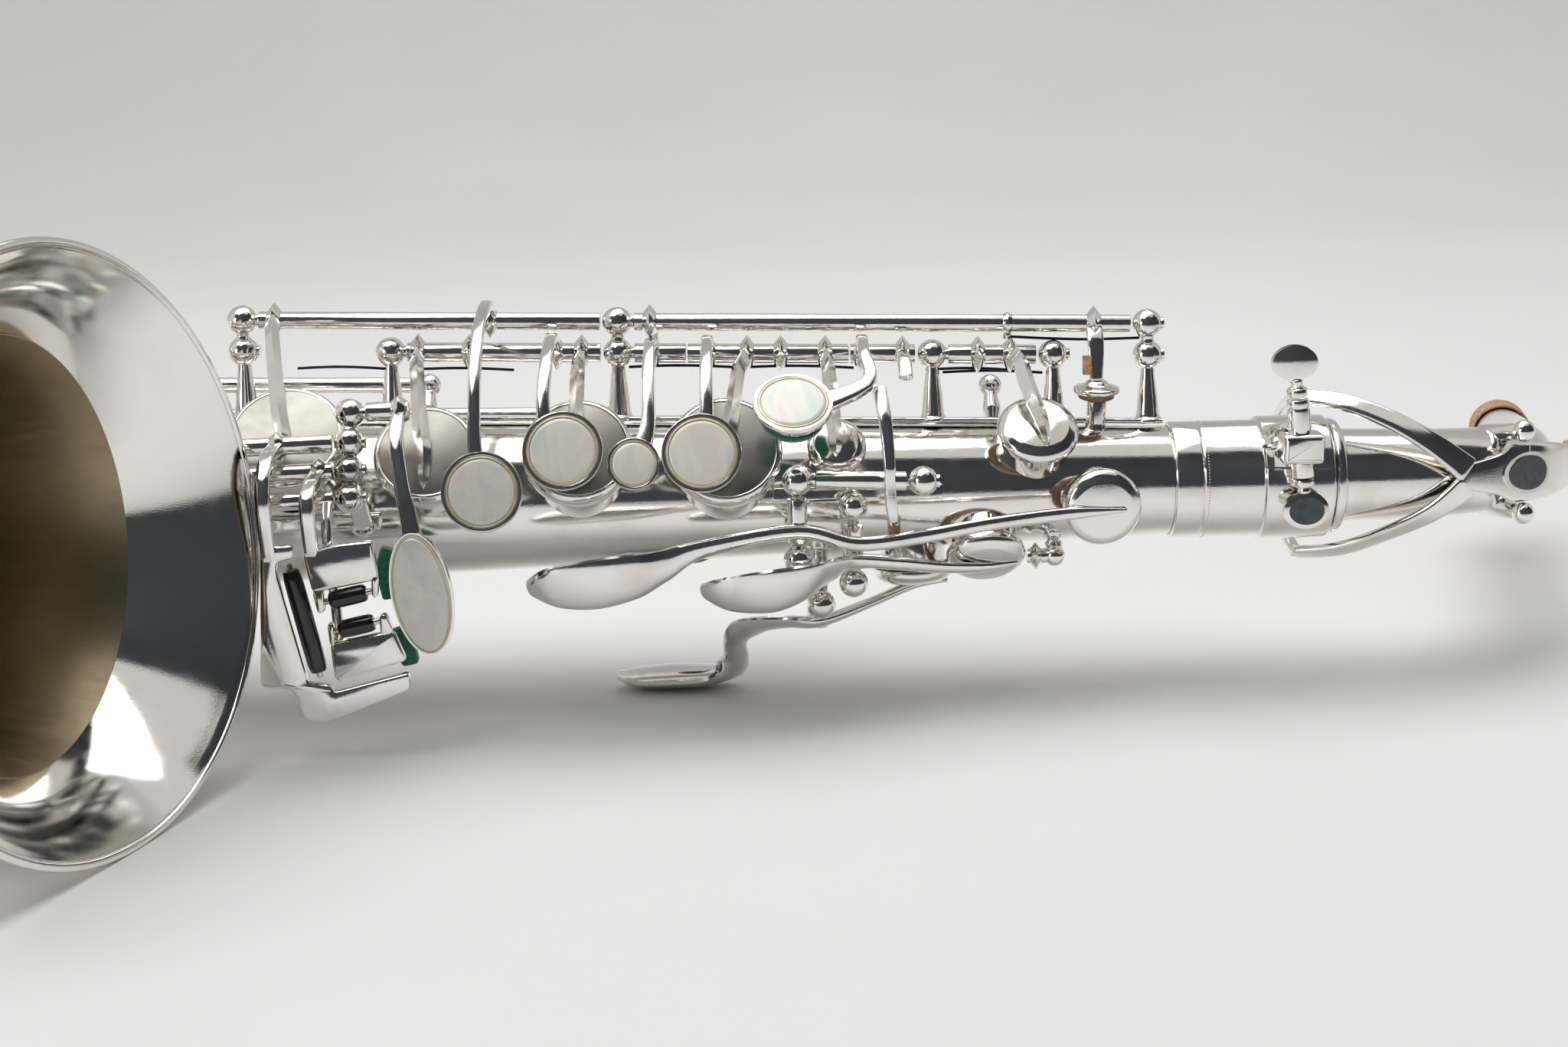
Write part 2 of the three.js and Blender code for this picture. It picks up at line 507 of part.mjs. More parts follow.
// ---- high E key and the right hand side keys -----------------------------------------------------
function sideKeys() {
  piece('high_e_key', [
    keyTube(-90.9, -70.5), cup(HOLES.high_e, SHUT_LIFT),
    arm(-76.5, [[98, 29.8], [80, 32], [64, 27.6], [51, 23.5], [36, 22.4]], 1.6, 1.4, 6),
    arm(-84, [[98, 30], [108, 31.2], [117, 30.4]], 1.6, 1.2),
  ], SILVER, onRod(-80));

  // an oval touch for the side of the right hand, longer along the body
  const touch = (x, deg, height) => turned([[0, 0], [5.2, 0.4], [6, 1.4], [0, 3]], V(0, 0, 0), V(0, 1, 0))
    .scale(1.35, 1, 0.8)
    .applyMatrix4(new THREE.Matrix4().makeBasis(ALONG, normalAt(deg), ALONG.clone().cross(normalAt(deg)))
      .setPosition(above(x, height, deg)));
  const sideLever = (line, x0, x1, touchX, touchDeg, touchHeight) => {
    const near = (line.deg + touchDeg) / 2;
    return [
      rod(sideAt(line, x0), sideAt(line, x1), 1.9),
      touch(touchX, touchDeg, touchHeight),
      bar([sideAt(line, touchX), above(touchX, (line.height + touchHeight) / 2 + 3, near + 3),
        above(touchX, touchHeight + 1.2, touchDeg)], 2, 1.3, [normalAt(line.deg), normalAt(near), normalAt(touchDeg)]),
    ];
  };
  const { high_e: eLine, b_flat: bLine, c: cLine } = SIDE_RODS;
  piece('side_high_e_lever', [
    ...sideLever(eLine, -344.8, -217.2, -302, 112, 17),
  ], SILVER, onRod(-280, eLine.height, eLine.deg));

  const sideArm = (hole, line) => {
    const top = cupTop(hole, SHUT_LIFT);
    const start = bodyRadius(hole.x) + line.height;
    return arm(hole.x + 6, [[line.deg, start], [(line.deg + hole.deg) / 2, (start + top) / 2 + 1.2],
      [hole.deg, top + 0.6], [hole.deg + 12, top]], 1.4, 1.2, -6);
  };
  piece('side_b_flat_key', [
    ...sideLever(bLine, -350.8, -173.2, -341, 130, 19), cup(HOLES.side_b_flat, SHUT_LIFT),
    sideArm(HOLES.side_b_flat, bLine),
  ], SILVER, onRod(-262, bLine.height, bLine.deg));
  piece('side_c_key', [
    ...sideLever(cLine, -356.8, -139.2, -322, 143, 19), cup(HOLES.side_c, SHUT_LIFT),
    sideArm(HOLES.side_c, cLine),
  ], SILVER, onRod(-242, cLine.height, cLine.deg));
}

// ---- palm keys ----------------------------------------------------------------------------------
// Each palm key turns on a short tube across the body, between two posts.
const PALM = {
  d: { x: -127, deg: -1, spread: 9, height: 13.5 },
  e_flat: { x: -114.5, deg: -19, spread: 10.3, height: 9.5 },
  f: { x: -122, deg: -66, spread: 9, height: 13.5 },
};
const acrossAt = (deg) => V(0, Math.sin(rad(deg)), Math.cos(rad(deg)));
function palmHinge({ x, deg, spread, height }, shift = 0) {
  return above(x, height, deg).addScaledVector(acrossAt(deg), spread * shift);
}
const palmTurn = (key) => ({ pivot: palmHinge(key), axis: acrossAt(key.deg) });
function palmPosts() {
  const shapes = [];
  Object.values(PALM).forEach((key) => {
    [-1, 1].forEach((side) => {
      const top = palmHinge(key, side);
      const foot = V(top.x, top.y, top.z);
      const deg = THREE.MathUtils.radToDeg(Math.atan2(foot.z, -foot.y));
      shapes.push(cone(above(key.x, 1, deg), top, 2.8, 1.6), ball(top, 3.3));
    });
  });
  LINK_RODS.forEach((at) => {
    const deg = THREE.MathUtils.radToDeg(Math.atan2(at.z, -at.y));
    shapes.push(cone(above(at.x, 1, deg), at, 2.6, 1.7), ball(at, 3.3));
  });
  shapes.push(strip(-132, -94, 8, 2.6));
  const base = [];
  for (let deg = -92; deg <= 4; deg += 16) base.push(above(-121, 1.3, deg));
  shapes.push(bar(base, 9.5, 0.8, base.map((p) => V(0, p.y, p.z).normalize()), 4));
  return piece('palm_key_posts', shapes);
}
// A spoon-shaped touch on the end of a lever.
const spoon = (points, widths, depths, flats) => bar(points, widths, depths, flats, 8);
function palmKeys() {
  const out = (deg) => normalAt(deg);
  const hinge = (key) => rod(palmHinge(key, -0.56), palmHinge(key, 0.56), 2.2);
  piece('palm_d_key', [
    hinge(PALM.d),
    spoon([V(-186, -36.5, -12.4), V(-181, -38.4, -12), V(-172, -40, -11), V(-163, -39, -9.6), V(-157, -37, -8),
      V(-148, -34.5, -5), V(-127, -31, -2.5), V(-114, -31, -5.6), V(-100, -28.6, -5), V(-84, -24.8, -3.4),
      V(-66, -22, -2.2), V(-53, -21.7, -1.7)],
    [2.5, 5.6, 6.6, 5.8, 4, 2.2, 1.8, 1.7, 1.7, 1.6, 1.5, 0.8], [1, 1.7, 2, 1.9, 1.6, 1.3, 1.5, 1.4, 1.3, 1.2, 1, 0.7],
    [-24, -24, -22, -20, -16, -10, -4, -8, -8, -6, -5, -5].map(out)),
    cup(HOLES.palm_d, SHUT_LIFT),
  ], SILVER, palmTurn(PALM.d));
  piece('palm_e_flat_key', [
    hinge(PALM.e_flat),
    spoon([V(-148, -33.5, -15), V(-143, -36, -15.2), V(-134, -38, -14.2), V(-126, -36, -13), V(-120, -30.6, -11.8),
      V(-114, -25, -11.2), V(-104, -22.6, -12.6), V(-94, -19.4, -14.6), V(-84, -16.6, -15.6), V(-77, -15.8, -14.8)],
    [2.5, 5.2, 6.2, 5.4, 3.6, 2, 1.8, 1.7, 1.5, 0.8], [1, 1.6, 1.9, 1.8, 1.5, 1.4, 1.3, 1.2, 1, 0.7],
    [-30, -30, -28, -28, -26, -26, -30, -36, -44, -44].map(out)),
    cup(HOLES.palm_e_flat, SHUT_LIFT),
  ], SILVER, palmTurn(PALM.e_flat));
  piece('palm_f_key', [
    hinge(PALM.f),
    spoon([V(-170, 0.5, -44.8), V(-165, 0, -45.1), V(-156.5, -0.5, -45.2), V(-149, -1, -44.9), V(-144, -1.8, -43.4),
      V(-141.4, -3.5, -39.5), V(-141.4, -7, -33.8), V(-140, -11.4, -29.8), V(-133, -13, -28.8), V(-122, -12.6, -28.6),
      V(-110, -6.8, -26), V(-100, -2.6, -23.2), V(-92, -2, -22.4)],
    [2.2, 5.4, 6.2, 5.6, 4.2, 3, 3, 4.2, 3.2, 2, 1.6, 1.6, 0.8], [1, 1.8, 2.1, 1.9, 1.6, 1.4, 1.4, 1.3, 1.3, 1.3, 1.2, 1.1, 0.7],
    [-88, -88, -88, -84, -60, -20, -15, -30, -56, -66, -76, -84, -84].map(out)),
    cup(HOLES.palm_f, SHUT_LIFT),
  ], SILVER, palmTurn(PALM.f));
}

// ---- left hand table and the low keys on the bell ------------------------------------------------
const TABLE_POST_X = -225;
const LEFT_END_X = -446;
const LEFT_RODS = {
  g_sharp: { y: -26, z: 25.7 },
  b_flat: { y: -29, z: 19.8 },
  c_sharp: { y: -31, z: 13.9 },
  b: { y: -32.5, z: 8 },
};
const LEFT_SLOPE = 0.027;        // the left rods sink towards the bow
const leftAt = (name, x) => V(x, LEFT_RODS[name].y, LEFT_RODS[name].z + LEFT_SLOPE * (x - TABLE_POST_X));
const LEFT_AXIS = V(1, 0, LEFT_SLOPE);
const LEFT_RIB = -2;             // angle of the rib that carries the left posts
const CSHARP_HINGE = { y: -26, z: -23 };

function leftRib() {
  const shapes = [];
  [TABLE_POST_X, LEFT_END_X].forEach((x) => {
    Object.keys(LEFT_RODS).forEach((name) => shapes.push(ball(leftAt(name, x), 3.3)));
    shapes.push(bar([leftAt('g_sharp', x), leftAt('c_sharp', x), leftAt('b', x)], 1.7, 1.7, V(0, -1, 0.3)));
    shapes.push(cone(above(x, 2.4, LEFT_RIB), leftAt('c_sharp', x), 2.2, 2));
  });
  shapes.push(strip(-450, -221.4, LEFT_RIB, 2.4));
  return piece('bell_key_rib', shapes);
}

const FACE = V(0, -1, -0.12);
const UPRIGHT = V(0.05, 0, 1);
const PLATE_Y = -44.5;
function tablePlate(outline, y = PLATE_Y, thickness = 2.2) {
  return plate(outline, thickness, V(0, y, 0), V(0, -1, 0), V(0, 0, 1));
}
function leftTable() {
  const tube = (name, x0, x1, r = 2) => rod(leftAt(name, x0), leftAt(name, x1), r);
  const drop = (name, x, y, z, w = 1.6) => {
    const start = leftAt(name, x);
    const mid = V(x, y - 1.5, (start.z + z) / 2 + 3);
    return bar([start, V(x, (start.y + y) / 2 - 4, start.z - 1), mid, V(x, y, z)], w, 1.3, V(0, -1, 0.4));
  };

  piece('low_b_flat_key', [
    tube('b_flat', -442.4, -228.6),
    drop('b_flat', -240.8, PLATE_Y - 1, -2),
    tablePlate([[-242.3, 0.9], [-235.4, 1.2], [-235.3, -1.7], [-239.2, -2.6], [-239.3, -5], [-234.6, -28],
      [-234.3, -29.8], [-229.4, -30.4], [-229, -32], [-212.2, -27.9], [-212.2, -31.9], [-230.4, -38.9],
      [-235.6, -38.1], [-238, -31.2], [-243.9, -30.6], [-244.7, -29.5]]),
    bellCup(BELL_HOLES[1]), bellArm('b_flat', BELL_HOLES[1]),
  ], SILVER, { pivot: leftAt('b_flat', -335), axis: LEFT_AXIS });

  piece('low_c_sharp_lever', [
    tube('c_sharp', -442.4, -228.6),
    drop('c_sharp', -231.6, PLATE_Y - 1, -1),
    tablePlate([[-233.4, -1], [-225.8, 1.1], [-218.3, 1.7], [-217.4, -6], [-217.9, -10.6], [-219, -10.6],
      [-219.2, -6.7], [-229, -8.6], [-229.7, -13.9], [-231, -14.2]]),
    bar([leftAt('c_sharp', -420), V(-420, -38.4, 6), V(-420, -38.4, -8), V(-420, -33.6, -15)], 1.6, 1.3,
      [V(0, -0.4, 1), V(0, -1, 0.5), V(0, -1, -0.3), V(0, -1, -0.6)]),
  ], SILVER, { pivot: leftAt('c_sharp', -335), axis: LEFT_AXIS });

  piece('low_b_key', [
    tube('b', -442.4, -228.6),
    bar([leftAt('b', -230), V(-229.4, -38.4, 1), V(-228.6, -38.6, -14), V(-227, PLATE_Y - 0.4, -24)], 1.2, 1.2,
      V(0, -1, 0.2)),
    tablePlate([[-229.2, -16.6], [-228.1, -16.6], [-227.9, -21.2], [-218.1, -19.2], [-217.6, -14.9], [-216.4, -14.6],
      [-212.5, -25.2], [-227.5, -29.6], [-228.6, -28.6]]),
    bellCup(BELL_HOLES[0]), bellArm('b', BELL_HOLES[0]),
  ], SILVER, { pivot: leftAt('b', -335), axis: LEFT_AXIS });
}
function bellArm(name, hole) {
  const x = bellPath.getPointAt(hole.u).x;
  const { at, n } = bellSeat(hole, CHIMNEY + OPEN_LIFT + 1 + CUP_DEPTH);
  const start = leftAt(name, x);
  return bar([start, V(x, -38.4, start.z + 6), V(x, -39.5, 32), V(x, -46, 47), V(x, at.y + 16, at.z + 2.2),
    at.clone().addScaledVector(n, 0.3)], 1.8, 1.4, [V(0, -1, 1), V(0, -1, 0.6), V(0, -1, 0.1), V(0, -0.7, 1), n, n]);
}

// The black rollers between the touches, each on its own spindle.
function tableRollers() {
  const roller = (name, x0, z0, x1, z1, r) => {
    const a = V(x0, PLATE_Y - 1.1, z0);
    const b = V(x1, PLATE_Y - 1.1, z1);
    const ahead = b.clone().sub(a).normalize();
    const length = a.distanceTo(b);
    const profile = [[0, 0], [r * 0.7, 0], [r, length * 0.2], [r, length * 0.8], [r * 0.7, length], [0, length]];
    piece(name, [turned(profile, a, ahead, 16)], BLACK, { pivot: a.clone().add(b).multiplyScalar(0.5), axis: ahead });
  };
  roller('table_roller_long', -236.4, -4.4, -231.9, -27.4, 2.1);
  roller('table_roller_upper', -228.4, -11.5, -220.4, -9.8, 2);
  roller('table_roller_lower', -226.8, -18.1, -219.2, -16.5, 2);
}

function cSharpCup() {
  const hinge = (x) => V(x, CSHARP_HINGE.y, CSHARP_HINGE.z);
  const hole = HOLES.c_sharp;
  const top = cupTop(hole, SHUT_LIFT) + 0.8;
  piece('low_c_sharp_key', [
    rod(hinge(-444), hinge(-408), 2, 10), cup(hole, SHUT_LIFT),
    bar([hinge(-420), V(-420, -28, -17.4), V(-420, -29.4, -14)], 1.5, 1.2, V(0, -1, -0.2)),
    bar([hinge(-428), around(-428, top + 1, -62), around(-428, top + 0.8, -78), around(-428, top, -98)], 1.6, 1.3,
      [-50, -62, -78, -98].map(normalAt)),
  ], SILVER, { pivot: hinge(-426), axis: ALONG });
}

// ---- right hand stack ---------------------------------------------------------------------------
function rightHandStack() {
  const stackKey = (name, hole, x0, x1, armX, touchX) => {
    const touch = TOUCH[name[0]];
    const shapes = [keyTube(x0, x1), cup(hole, OPEN_LIFT), cupArm(armX, hole, OPEN_LIFT, { beyond: 6 })];
    if (touchX) {
      const r = bodyRadius(touchX) + INNER_ROD;
      shapes.push(holderOf(touch), touchArm(touchX, touch, INNER_ROD, [[88, r + 5], [76, r + 6]]));
    }
    piece(name, shapes, SILVER, onRod((x0 + x1) / 2));
    if (touchX) pearl(name.replace('key', 'pearl'), touch.at, normalAt(touch.deg), 1, rodAt((x0 + x1) / 2));
  };
  stackKey('f_sharp_key', HOLES.f_sharp, -296.6, -272.4, -284);
  stackKey('f_key', HOLES.f, -332, -304.4, -315, -324);
  stackKey('e_key', HOLES.e, -362.2, -332.4, -348, -354);
  stackKey('d_key', HOLES.d, -396.2, -369.8, -383, -376);
}

// ---- right hand little finger keys ---------------------------------------------------------------
function lowKeys() {
  const at = (x, deg = LOW_ROD.deg, height = LOW_ROD.height) => above(x, height, deg);
  const touch = (x) => bar([at(x, 96, 22), at(x, 88, 22.6), at(x, 78, 22)], [5.6, 6.4, 5.2], 1.3,
    [96, 88, 78].map(normalAt), 8);
  piece('low_e_flat_key', [
    rod(at(-432), at(-416.6), 2.2), touch(-419), bar([at(-419), at(-419, 104, 20), at(-419, 94, 22)], 1.8, 1.3,
      [112, 104, 94].map(normalAt)),
    cup(HOLES.e_flat, SHUT_LIFT), arm(-430, [[112, bodyRadius(-430) + 15], [128, cupTop(HOLES.e_flat, SHUT_LIFT) + 4],
      [142, cupTop(HOLES.e_flat, SHUT_LIFT) + 1.4], [160, cupTop(HOLES.e_flat, SHUT_LIFT)]], 1.6, 1.3),
  ], SILVER, onRod(-424, LOW_ROD.height, LOW_ROD.deg));
  const seat = front(-490, 12, 0).add(around(0, bowRadius(45) + CHIMNEY + OPEN_LIFT, ROLL + 90));
  const up = around(0, 1, ROLL + 90);
  piece('low_c_key', [
    rod(at(-445.2), at(-432.4), 2.2), touch(-434), bar([at(-434), at(-434, 104, 20), at(-434, 94, 22)], 1.8, 1.3,
      [112, 104, 94].map(normalAt)),
    turned([[0, 0], [15, 0.4], [15, 3.4], [14, 4.2], [0, CUP_DEPTH]], seat, up, 16),
    bar([at(-441), V(-444, 6, 43.5), V(-462, -4, 43.5), seat.clone().addScaledVector(up, 5)], 1.8, 1.5, up),
  ], SILVER, onRod(-438, LOW_ROD.height, LOW_ROD.deg));
}

// ---- guards, brace, rings and hooks --------------------------------------------------------------
function fittings() {
  const guardOver = (hole) => {
    const { at, n } = bellSeat(hole, 0);
    const ahead = bellPath.getTangentAt(hole.u);
    return { at, n, ahead };
  };
  // A plate over both bell cups, on three legs that stand on the bell.
  const a = guardOver(BELL_HOLES[0]);
  const b = guardOver(BELL_HOLES[1]);
  const lift = CHIMNEY + OPEN_LIFT + CUP_DEPTH + 9;
  const leg = (base, along) => {
    const foot = base.at.clone().addScaledVector(base.ahead, along).addScaledVector(base.n, 1);
    const head = base.at.clone().addScaledVector(base.ahead, along * 0.72).addScaledVector(base.n, lift);
    return cone(foot, head, 2, 1.5, 8);
  };
  const ridge = [a.at.clone().addScaledVector(a.ahead, -15).addScaledVector(a.n, lift),
    a.at.clone().addScaledVector(a.n, lift), b.at.clone().addScaledVector(b.n, lift),
    b.at.clone().addScaledVector(b.ahead, 15).addScaledVector(b.n, lift)];
  piece('bell_key_guard', [bar(ridge, 4, 1.3, a.n), leg(a, -20), leg(b, 21), leg(a, 26)]);

  // A wire guard under the low C sharp cup: the body's lower end lies on it.
  const g = (x, r, deg) => around(x, r, deg);
  const wire = (x) => bar([g(x, bodyRadius(x) + 0.8, -128), g(x, 40, -122), g(x, 46.7, -97), g(x, 46.7, -84),
    g(x, 42, -62), g(x, bodyRadius(x) + 0.8, -40)], 1.6, 1.4, [-128, -122, -97, -84, -62, -40].map(normalAt));
  piece('low_c_sharp_guard', [wire(-408.5), wire(-446.5),
    bar([g(-448, 46.4, -90), g(-407, 46.4, -90)], 5, 1.1, V(0, 0, -1), 4)]);

  const braceFoot = above(-312, 0.8, -26);
  const braceHead = front(-312, 48.6, -17);
  piece('bell_brace', [
    turned([[0, 0], [5, 0], [5, 1.4], [0, 2.4]], braceFoot, normalAt(-26), 10),
    cone(braceFoot, braceHead, 2.4, 2.4, 8), ball(braceFoot.clone().lerp(braceHead, 0.5), 4.2),
  ]);

  const back = 188;
  piece('strap_ring', [
    turned([[4.2, -1.4], [6.6, -1.4], [6.9, 0], [6.6, 1.4], [4.2, 1.4], [4.2, -1.4]], above(-218, 8.4, back),
      around(0, 1, back + 90), 14),
    bar([above(-226, 1.2, back), above(-210, 1.2, back)], 5, 0.8, normalAt(back), 4),
    bar([above(-218, 1, back), above(-218, 3, back)], 2.4, 1.6, ALONG, 6),
  ]);
  piece('thumb_hook', [
    bar([above(-280, 1.4, 196), above(-258, 1.4, 196)], 6, 0.9, normalAt(196), 4),
    bar([above(-266, 1.4, 196), above(-263, 9, 196), above(-265, 18, 198), above(-275, 23, 200), above(-285, 20, 200)],
      [6, 6.4, 6.6, 6.4, 5], 1.3, [V(1, 0, 0), V(1, 0, 0), V(0.8, 0.6, 0), normalAt(198), normalAt(200)], 8),
  ]);
}

// ---- neck receiver and its screws ----------------------------------------------------------------
const COLLAR_X = -3.5;                           // where the neck's collar meets the receiver
const SCREW = { x: -12.2, y: -19, lean: -0.105 };
const screwAt = (z) => V(SCREW.x + SCREW.lean * z, SCREW.y, z);
function receiver() {
  const sleeve = [[12.75, -36.8], [13.6, -36.4], [13.6, -16.4], [14.4, -16], [14.4, -0.8], [14, -0.3],
    [11.9, -0.3], [11.9, -35], [12.75, -35.6], [12.75, -36.8]];
  const body = turned(sleeve, V(COLLAR_X, 0, 0), ALONG, 20);
  const block = plate([[-4.7, 7.8], [4.7, 7.8], [4.7, 14.6], [-4.7, 14.6]], 12.5, V(screwAt(11).x, -10.5, 0),
    V(0, -1, 0), V(0, 0, 1));
  const bosses = [rod(screwAt(14), screwAt(22.4), 2.6), rod(screwAt(9), screwAt(4.4), 2.6)];
  const bore = rod(V(-42, 0, 0), V(2, 0, 0), 11.9, 20);
  return piece('neck_receiver', [body, block, ...bosses], SILVER, { cuts: [bore] });
}
function thumbscrew(name, z, zTip, wide, high, up) {
  const at = screwAt(z);
  const neckEnd = screwAt(z - up * (high / 2 - 0.6));
  const paddle = new THREE.SphereGeometry(1, 10, 5).scale(wide / 2, 1.3, high / 2).translate(at.x, at.y, z);
  const collar = rod(screwAt(zTip), screwAt(zTip + up * 1.8), 2.4);
  piece(name, [cone(screwAt(zTip), neckEnd, 1.7, 1.3), collar, paddle], SILVER,
    { pivot: at, axis: V(SCREW.lean, 0, 1) });
}

// ---- neck ---------------------------------------------------------------------------------------
const neckSide = around(0, 1, NECK_ANGLE);
function neckPoint(s) {
  const bend = rad(NECK_TURN) * NECK_BEND;
  if (s < NECK_STRAIGHT) return V(s, 0, 0);
  if (s < NECK_STRAIGHT + bend) {
    const a = (s - NECK_STRAIGHT) / NECK_BEND;
    return V(NECK_STRAIGHT + NECK_BEND * Math.sin(a), 0, 0).addScaledVector(neckSide, NECK_BEND * (1 - Math.cos(a)));
  }
  const left = s - NECK_STRAIGHT - bend;
  const end = V(NECK_STRAIGHT + NECK_BEND * Math.sin(rad(NECK_TURN)), 0, 0)
    .addScaledVector(neckSide, NECK_BEND * (1 - Math.cos(rad(NECK_TURN))));
  return end.addScaledVector(ALONG, left * Math.cos(rad(NECK_TURN)))
    .addScaledVector(neckSide, left * Math.sin(rad(NECK_TURN)));
}
const NECK_LENGTH = NECK_STRAIGHT + rad(NECK_TURN) * NECK_BEND + 95;
const CORK_LENGTH = 24;
const neckRadius = (s) => 11 - (11 - 6.3) * (Math.max(s, 0) / NECK_LENGTH);
const neckAhead = (s) => neckPoint(s + 0.5).sub(neckPoint(s - 0.5)).normalize();
const neckOut = (s) => around(0, 1, NECK_ANGLE + 90).cross(neckAhead(s)).normalize();

function neckTube() {
  const steps = [COLLAR_X - 0.3, 14, 22, 31, 39, 48, 56, 64, 90, NECK_LENGTH];
  const tenon = rod(V(COLLAR_X - 27, 0, 0), V(COLLAR_X + 0.3, 0, 0), 11.5, 14);
  const collar = turned([[0, 0.2], [13.2, 0.2], [13.6, 1], [13.2, 2.4], [11.3, 3.4], [0, 3.4]],
    V(COLLAR_X, 0, 0), ALONG, 20);
  const wall = pipe(steps.map(neckPoint), steps.map(neckRadius), 14);
  const hollowSteps = [...steps, NECK_LENGTH + 2];
  const hollow = pipe(hollowSteps.map(neckPoint), hollowSteps.map((s) => neckRadius(s) - 1), 14);
  const tenonBore = rod(V(COLLAR_X - 28, 0, 0), V(3, 0, 0), 10, 14);
  const saddle = SADDLE.map((side) => ball(saddlePoint(side), 2.6));
  const stems = SADDLE.map((side) => cone(neckPoint(SADDLE_S).addScaledVector(saddleAcross, side * 8.2),
    saddlePoint(side), 2.4, 1.8));
  const pip = cone(neckPoint(PIP_S).addScaledVector(neckOut(PIP_S), 5), neckPoint(PIP_S)
    .addScaledVector(neckOut(PIP_S), neckRadius(PIP_S) + 3), 2, 1.8);
  const pipBore = rod(neckPoint(PIP_S), neckPoint(PIP_S).addScaledVector(neckOut(PIP_S), 16), 0.9, 8);
  return piece('neck_tube', [tenon, collar, wall, ...saddle, ...stems, pip], SILVER,
    { cuts: [hollow, tenonBore, pipBore], axis: ALONG, parent: neck });
}
const SADDLE = [-1, 1];
const SADDLE_S = 37;
const PIP_S = 78;
const saddleAcross = around(0, 1, NECK_ANGLE + 90);
const SADDLE_LIFT = 2;
const neckHinge = (side) => neckPoint(SADDLE_S).addScaledVector(saddleAcross, side)
  .addScaledVector(neckOut(SADDLE_S), neckRadius(SADDLE_S) + SADDLE_LIFT);
const saddlePoint = (side) => neckHinge(side * 9.6);

function neckCork() {
  const s0 = NECK_LENGTH - CORK_LENGTH;
  const s1 = NECK_LENGTH - 1.5;
  const ahead = neckAhead(s0 + 2);
  const inner = (s) => neckRadius(s) + TOUCH_GAP;
  const profile = [[inner(s0), 0], [7.9, 0], [8, 3], [8, s1 - s0 - 1.5], [7.6, s1 - s0], [inner(s1), s1 - s0],
    [inner(s0), 0]];
  return piece('neck_cork', [turned(profile, neckPoint(s0), ahead, 16)], CORK, { parent: neck });
}

function neckOctaveKey() {
  const lift = (s, h) => neckPoint(s).addScaledVector(neckOut(s), neckRadius(s) + h);
  // the two arms of the fork and the ring behind the receiver
  const ring = [];
  const flats = [];
  for (let k = 0; k <= 8; k += 1) {
    const deg = 94 + (k * 172) / 8;
    ring.push(around(-9 - 3 * Math.sin(rad(deg - 90)) ** 2, 18.7, deg));
    flats.push(around(0, 1, deg));
  }
  const fork = (side) => {
    const offset = (x, y, z, rise = 1.2) => V(x, y, z * side + rise);
    return bar([side > 0 ? ring[0] : ring.at(-1), offset(0, -3.6, 17.4, 0.6), offset(10, -8.2, 13.2),
      offset(19, -11.2, 8), offset(26.6, -11.4, 2)], [1.9, 2.1, 2.4, 2.6, 3], 1,
    [V(0, -1, side), V(-0.1, -1, side * 0.9), V(0.2, -1, side * 0.8), V(0.3, -1, side * 0.5), V(0.5, -1, 0)]);
  };
  const along = [23, 30, 34, 42, 50, 60, 70, 80];
  const rise = [2.4, 2.4, 2.4, 2.6, 3.4, 4.8, 6.2, 6.6];
  const spine = along.map((s, i) => lift(s, rise[i]));
  const spineFlats = along.map(neckOut);
  const pad = neckPoint(PIP_S).addScaledVector(neckOut(PIP_S), neckRadius(PIP_S) + 3.4);
  return piece('neck_octave_key', [
    bar(ring, 1.4, 1.1, flats), fork(1), fork(-1),
    bar(spine, [2.6, 4, 6, 6, 5.4, 3.4, 2.2, 1.6], [1, 1, 1.1, 1.1, 1.1, 1.1, 1, 0.9], spineFlats, 8),
    rod(neckHinge(-6.4), neckHinge(6.4), 1.4),
    turned([[0, 0], [3.6, 0], [3.9, 0.5], [3.9, 2.2], [0, 2.8]], pad, neckOut(PIP_S), 14),
  ], SILVER, { pivot: neckHinge(0), axis: saddleAcross, parent: neck });
}

// ---- the whole instrument ------------------------------------------------------------------------
bodyTube();
bow();
bell();
bowRing();
upperRib();
lowerRib();
sideRib();
leftHandStack();
octaveKeys();
sideKeys();
palmPosts();
palmKeys();
leftRib();
leftTable();
tableRollers();
gSharpLever();
frontFLink();
cSharpCup();
rightHandStack();
lowKeys();
fittings();
receiver();
thumbscrew('neck_screw', 30.4, 22.8, 10.6, 8.4, 1);
thumbscrew('lyre_screw', -3.4, 4, 10.6, 9, -1);
neckTube();
neckCork();
neckOctaveKey();

// Stands the finished instrument on the floor, centred on the origin.
const box = new THREE.Box3().setFromObject(instrument);
const centre = box.getCenter(V(0, 0, 0));
instrument.position.set(-centre.x, -centre.y, -box.min.z);

export default instrument;
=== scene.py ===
"""An alto saxophone lying on its side on a pale studio sweep.

Every CAD node is rebuilt here at full resolution, in millimetres, in the frame the CAD was drawn in:
X along the body towards the neck with 0 at the mouth of the neck receiver, the body axis on Y = 0, Z = 0.
Angles round the body are counted from the front (-Y) towards the top (+Z).
"""
import json
import math
from math import cos, pi, radians, sin

import bmesh
import bpy
from mathutils import Matrix, Vector


